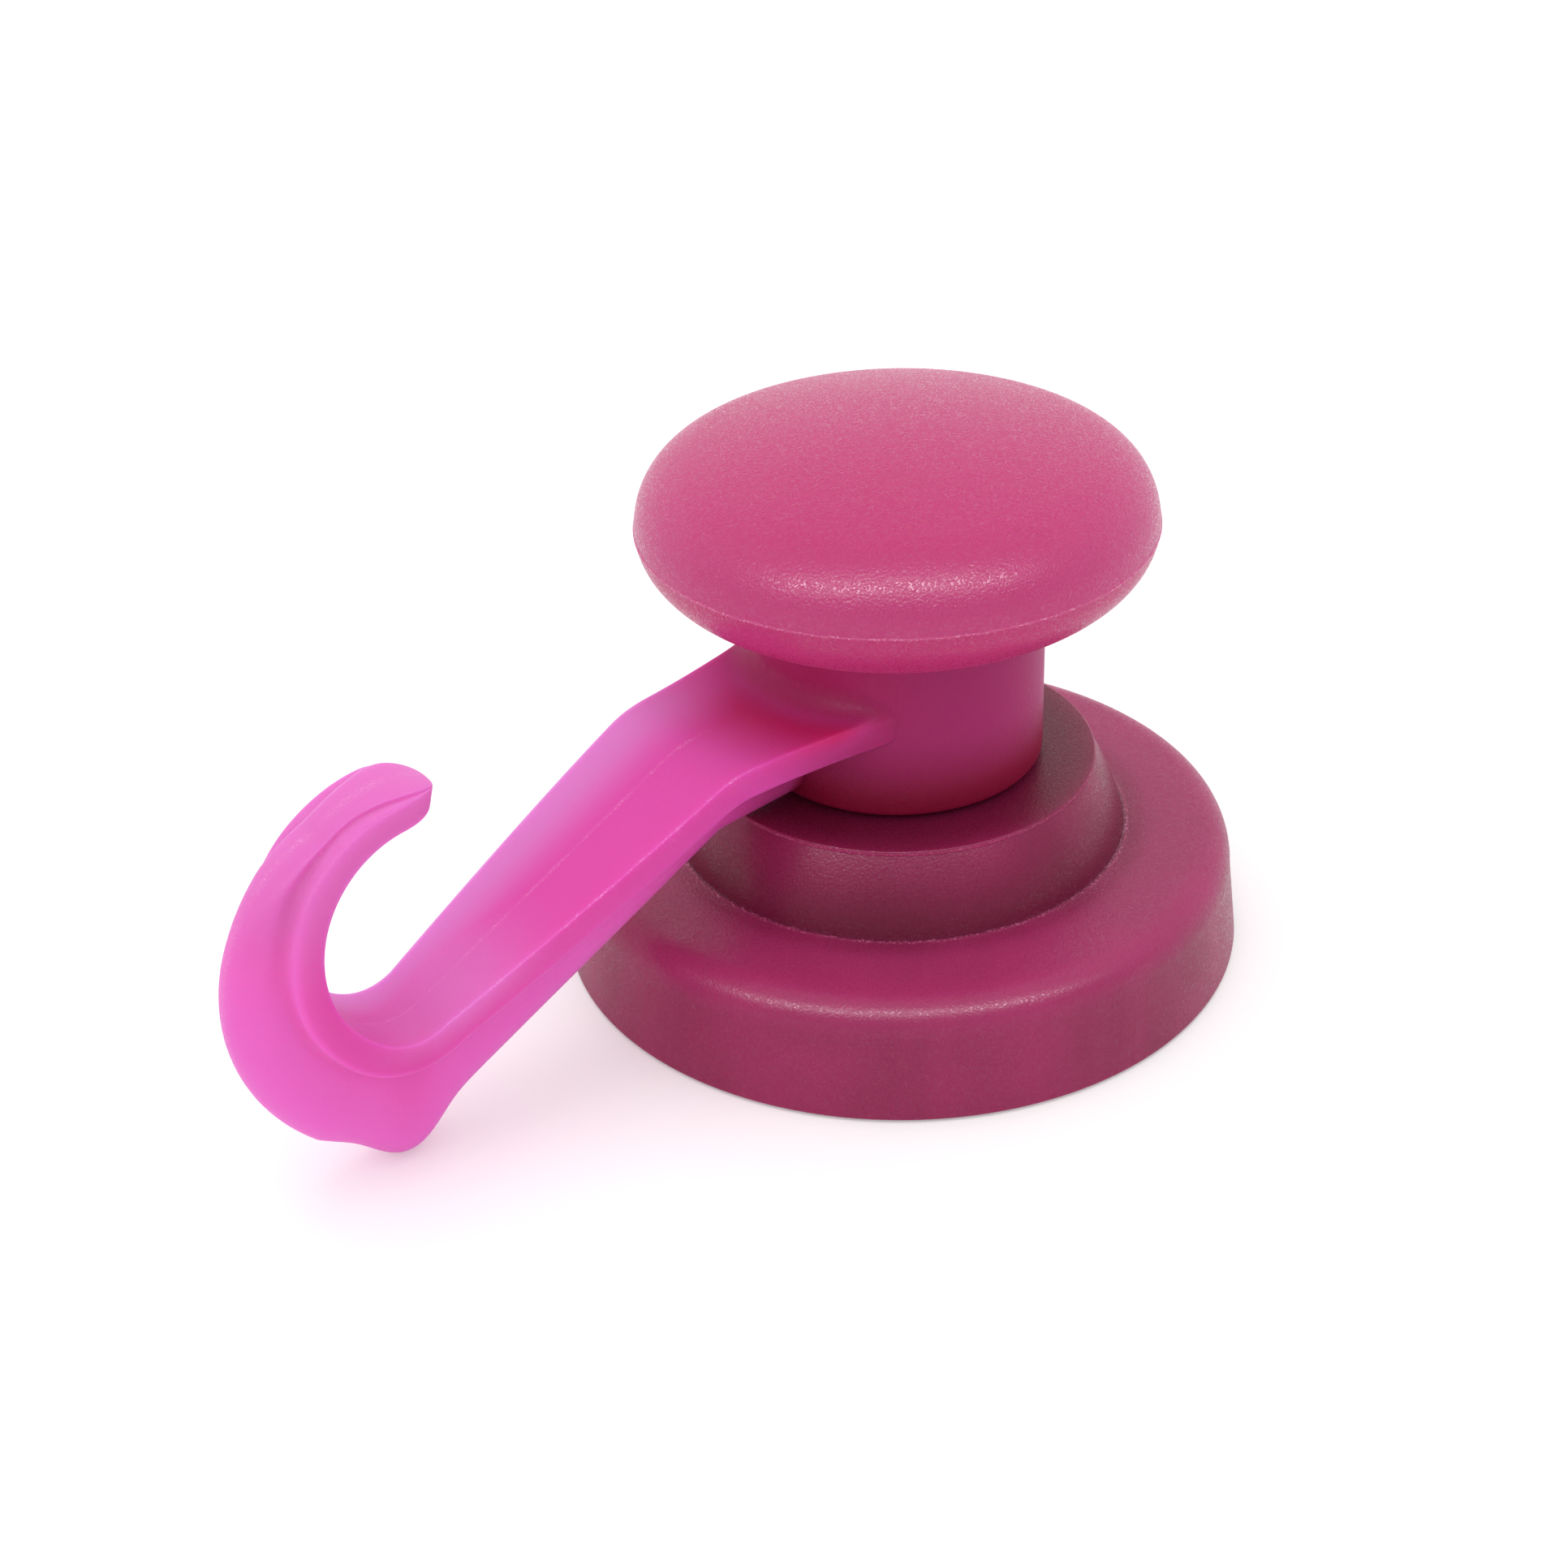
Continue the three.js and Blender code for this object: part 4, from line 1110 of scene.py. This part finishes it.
# %% Sky
CAMERA_TURN = math.radians(-36)
SKY_LEVEL, BRIGHT_SIDE_LEVEL, DARK_SIDE_LEVEL = 0.85, 1.0, 0.15
BRIGHT_UP_TO, DARK_FROM = -0.4, 0.7
world = bpy.data.worlds.new("soft_sky")
bpy.context.scene.world = world
world.use_nodes = True
sky_tree = world.node_tree
sky = sky_tree.nodes["Background"]
sky.inputs["Color"].default_value = (1, 1, 1, 1)
sky_path = sky_tree.nodes.new("ShaderNodeLightPath")
facing = sky_tree.nodes.new("ShaderNodeVectorMath")
facing.operation = "DOT_PRODUCT"
facing.inputs[1].default_value = (math.sin(CAMERA_TURN), -math.cos(CAMERA_TURN), 0)
wire(sky_tree, sky_tree.nodes.new("ShaderNodeTexCoord").outputs["Generated"], facing.inputs[0])
reflected = sky_tree.nodes.new("ShaderNodeMapRange")
reflected.interpolation_type = "SMOOTHSTEP"
wire(sky_tree, facing.outputs["Value"], reflected.inputs["Value"])
set_values(reflected, {"From Min": BRIGHT_UP_TO, "From Max": DARK_FROM})
set_values(reflected, {"To Min": BRIGHT_SIDE_LEVEL, "To Max": DARK_SIDE_LEVEL})
change = math_node(sky_tree, "SUBTRACT", reflected.outputs["Result"], SKY_LEVEL)
lift = math_node(sky_tree, "MULTIPLY", sky_path.outputs["Is Glossy Ray"], change)
lit = math_node(sky_tree, "ADD", lift, SKY_LEVEL)
by_camera, through_glass = sky_path.outputs["Is Camera Ray"], sky_path.outputs["Is Transmission Ray"]
seen = math_node(sky_tree, "MAXIMUM", by_camera, through_glass)
wire(sky_tree, math_node(sky_tree, "MAXIMUM", lit, seen), sky.inputs["Strength"])
print("sky: level", SKY_LEVEL, "and", DARK_SIDE_LEVEL, "in reflections on the camera's side")

# %% [markdown]
# Two lamps finish the light. A broad one overhead models the forms, and is left out of
# reflections. A long card in front is seen in reflections only, and draws the bright band
# on the knob and on the rim.

# %% Lamp helper


def standing(right, up, back, place):
    """The matrix of a thing that stands at a place, in metres, with the given axes."""
    axes = np.eye(4)
    axes[:3, 0], axes[:3, 1], axes[:3, 2], axes[:3, 3] = right, up, back, place
    return axes.T.tolist()


def soft_lamp(name, place, aim, size, power):
    """A flat lamp, its place, aim and size in metres: x is to the camera's right and y is away from it."""
    turned_to = np.array([
        [math.cos(CAMERA_TURN), -math.sin(CAMERA_TURN), 0],
        [math.sin(CAMERA_TURN), math.cos(CAMERA_TURN), 0],
        [0, 0, 1],
    ])
    position, target = turned_to @ np.array(place), turned_to @ np.array(aim)
    back = towards(target, position)
    side = np.cross(turned_to @ np.array([0, 1, 0]), back)
    side /= np.linalg.norm(side)
    lamp = bpy.data.lights.new(name, "AREA")
    lamp.shape = "RECTANGLE"
    lamp.size, lamp.size_y, lamp.energy = *size, power
    made = bpy.data.objects.new(name, lamp)
    made.matrix_world = standing(side, np.cross(back, side), back, position)
    bpy.context.scene.collection.objects.link(made)
    print(f"{name}: {power} watts, {size[0]} by {size[1]} metres")
    return made


# %% Lamps
overhead = soft_lamp("overhead", (-0.05, 0.04, 0.60), (0, 0, 0.015), (0.5, 0.4), 0.9)
overhead.visible_glossy = False
card = soft_lamp("gloss_card", (-0.04, -0.38, 0.46), (0, 0, 0.02), (1.2, 0.16), 6.8)
card.visible_diffuse = False

# %% [markdown]
# The camera was fitted to the outlines in the photograph: it looks down by 31.6 degrees from
# 147 mm away, with a slight roll. A known point of the object, the middle of the collar's
# foot, has to land on its pixel, and the eye is moved sideways until it does. That keeps the
# frame without a lens shift.

# %% Camera
ELEVATION, DISTANCE, ROLL = 0.5513488932, 147.0, -0.038341
FOCAL_PIXELS, IMAGE_SIDE, SENSOR_WIDTH = 2968.889, 1932, 36.0
TARGET, TARGET_PIXEL = np.array([0, 0, 12.6]), (1106.587, 912.624)
NEAREST_SEEN, FARTHEST_SEEN = 0.01, 20.0
right = np.array([math.cos(CAMERA_TURN), math.sin(CAMERA_TURN), 0])
level_ahead = np.array([-math.sin(CAMERA_TURN), math.cos(CAMERA_TURN), 0])
ahead = math.cos(ELEVATION) * level_ahead - np.array([0, 0, math.sin(ELEVATION)])
above = np.cross(right, ahead)
rolled_right = math.cos(ROLL) * right + math.sin(ROLL) * above
rolled_above = -math.sin(ROLL) * right + math.cos(ROLL) * above
off_right = (TARGET_PIXEL[0] - IMAGE_SIDE / 2) * DISTANCE / FOCAL_PIXELS
off_below = (TARGET_PIXEL[1] - IMAGE_SIDE / 2) * DISTANCE / FOCAL_PIXELS
eye = TARGET - DISTANCE * ahead - off_right * rolled_right + off_below * rolled_above
camera_data = bpy.data.cameras.new("camera")
camera_data.sensor_width = SENSOR_WIDTH
camera_data.lens = SENSOR_WIDTH * FOCAL_PIXELS / IMAGE_SIDE
camera_data.clip_start, camera_data.clip_end = NEAREST_SEEN, FARTHEST_SEEN
camera = bpy.data.objects.new("camera", camera_data)
camera.matrix_world = standing(rolled_right, rolled_above, -ahead, eye * MILLIMETRE)
bpy.context.scene.collection.objects.link(camera)
bpy.context.scene.camera = camera
bpy.context.scene.view_settings.view_transform = "Standard"
print("camera at", np.round(eye, 1), "mm, lens", round(camera_data.lens, 2))
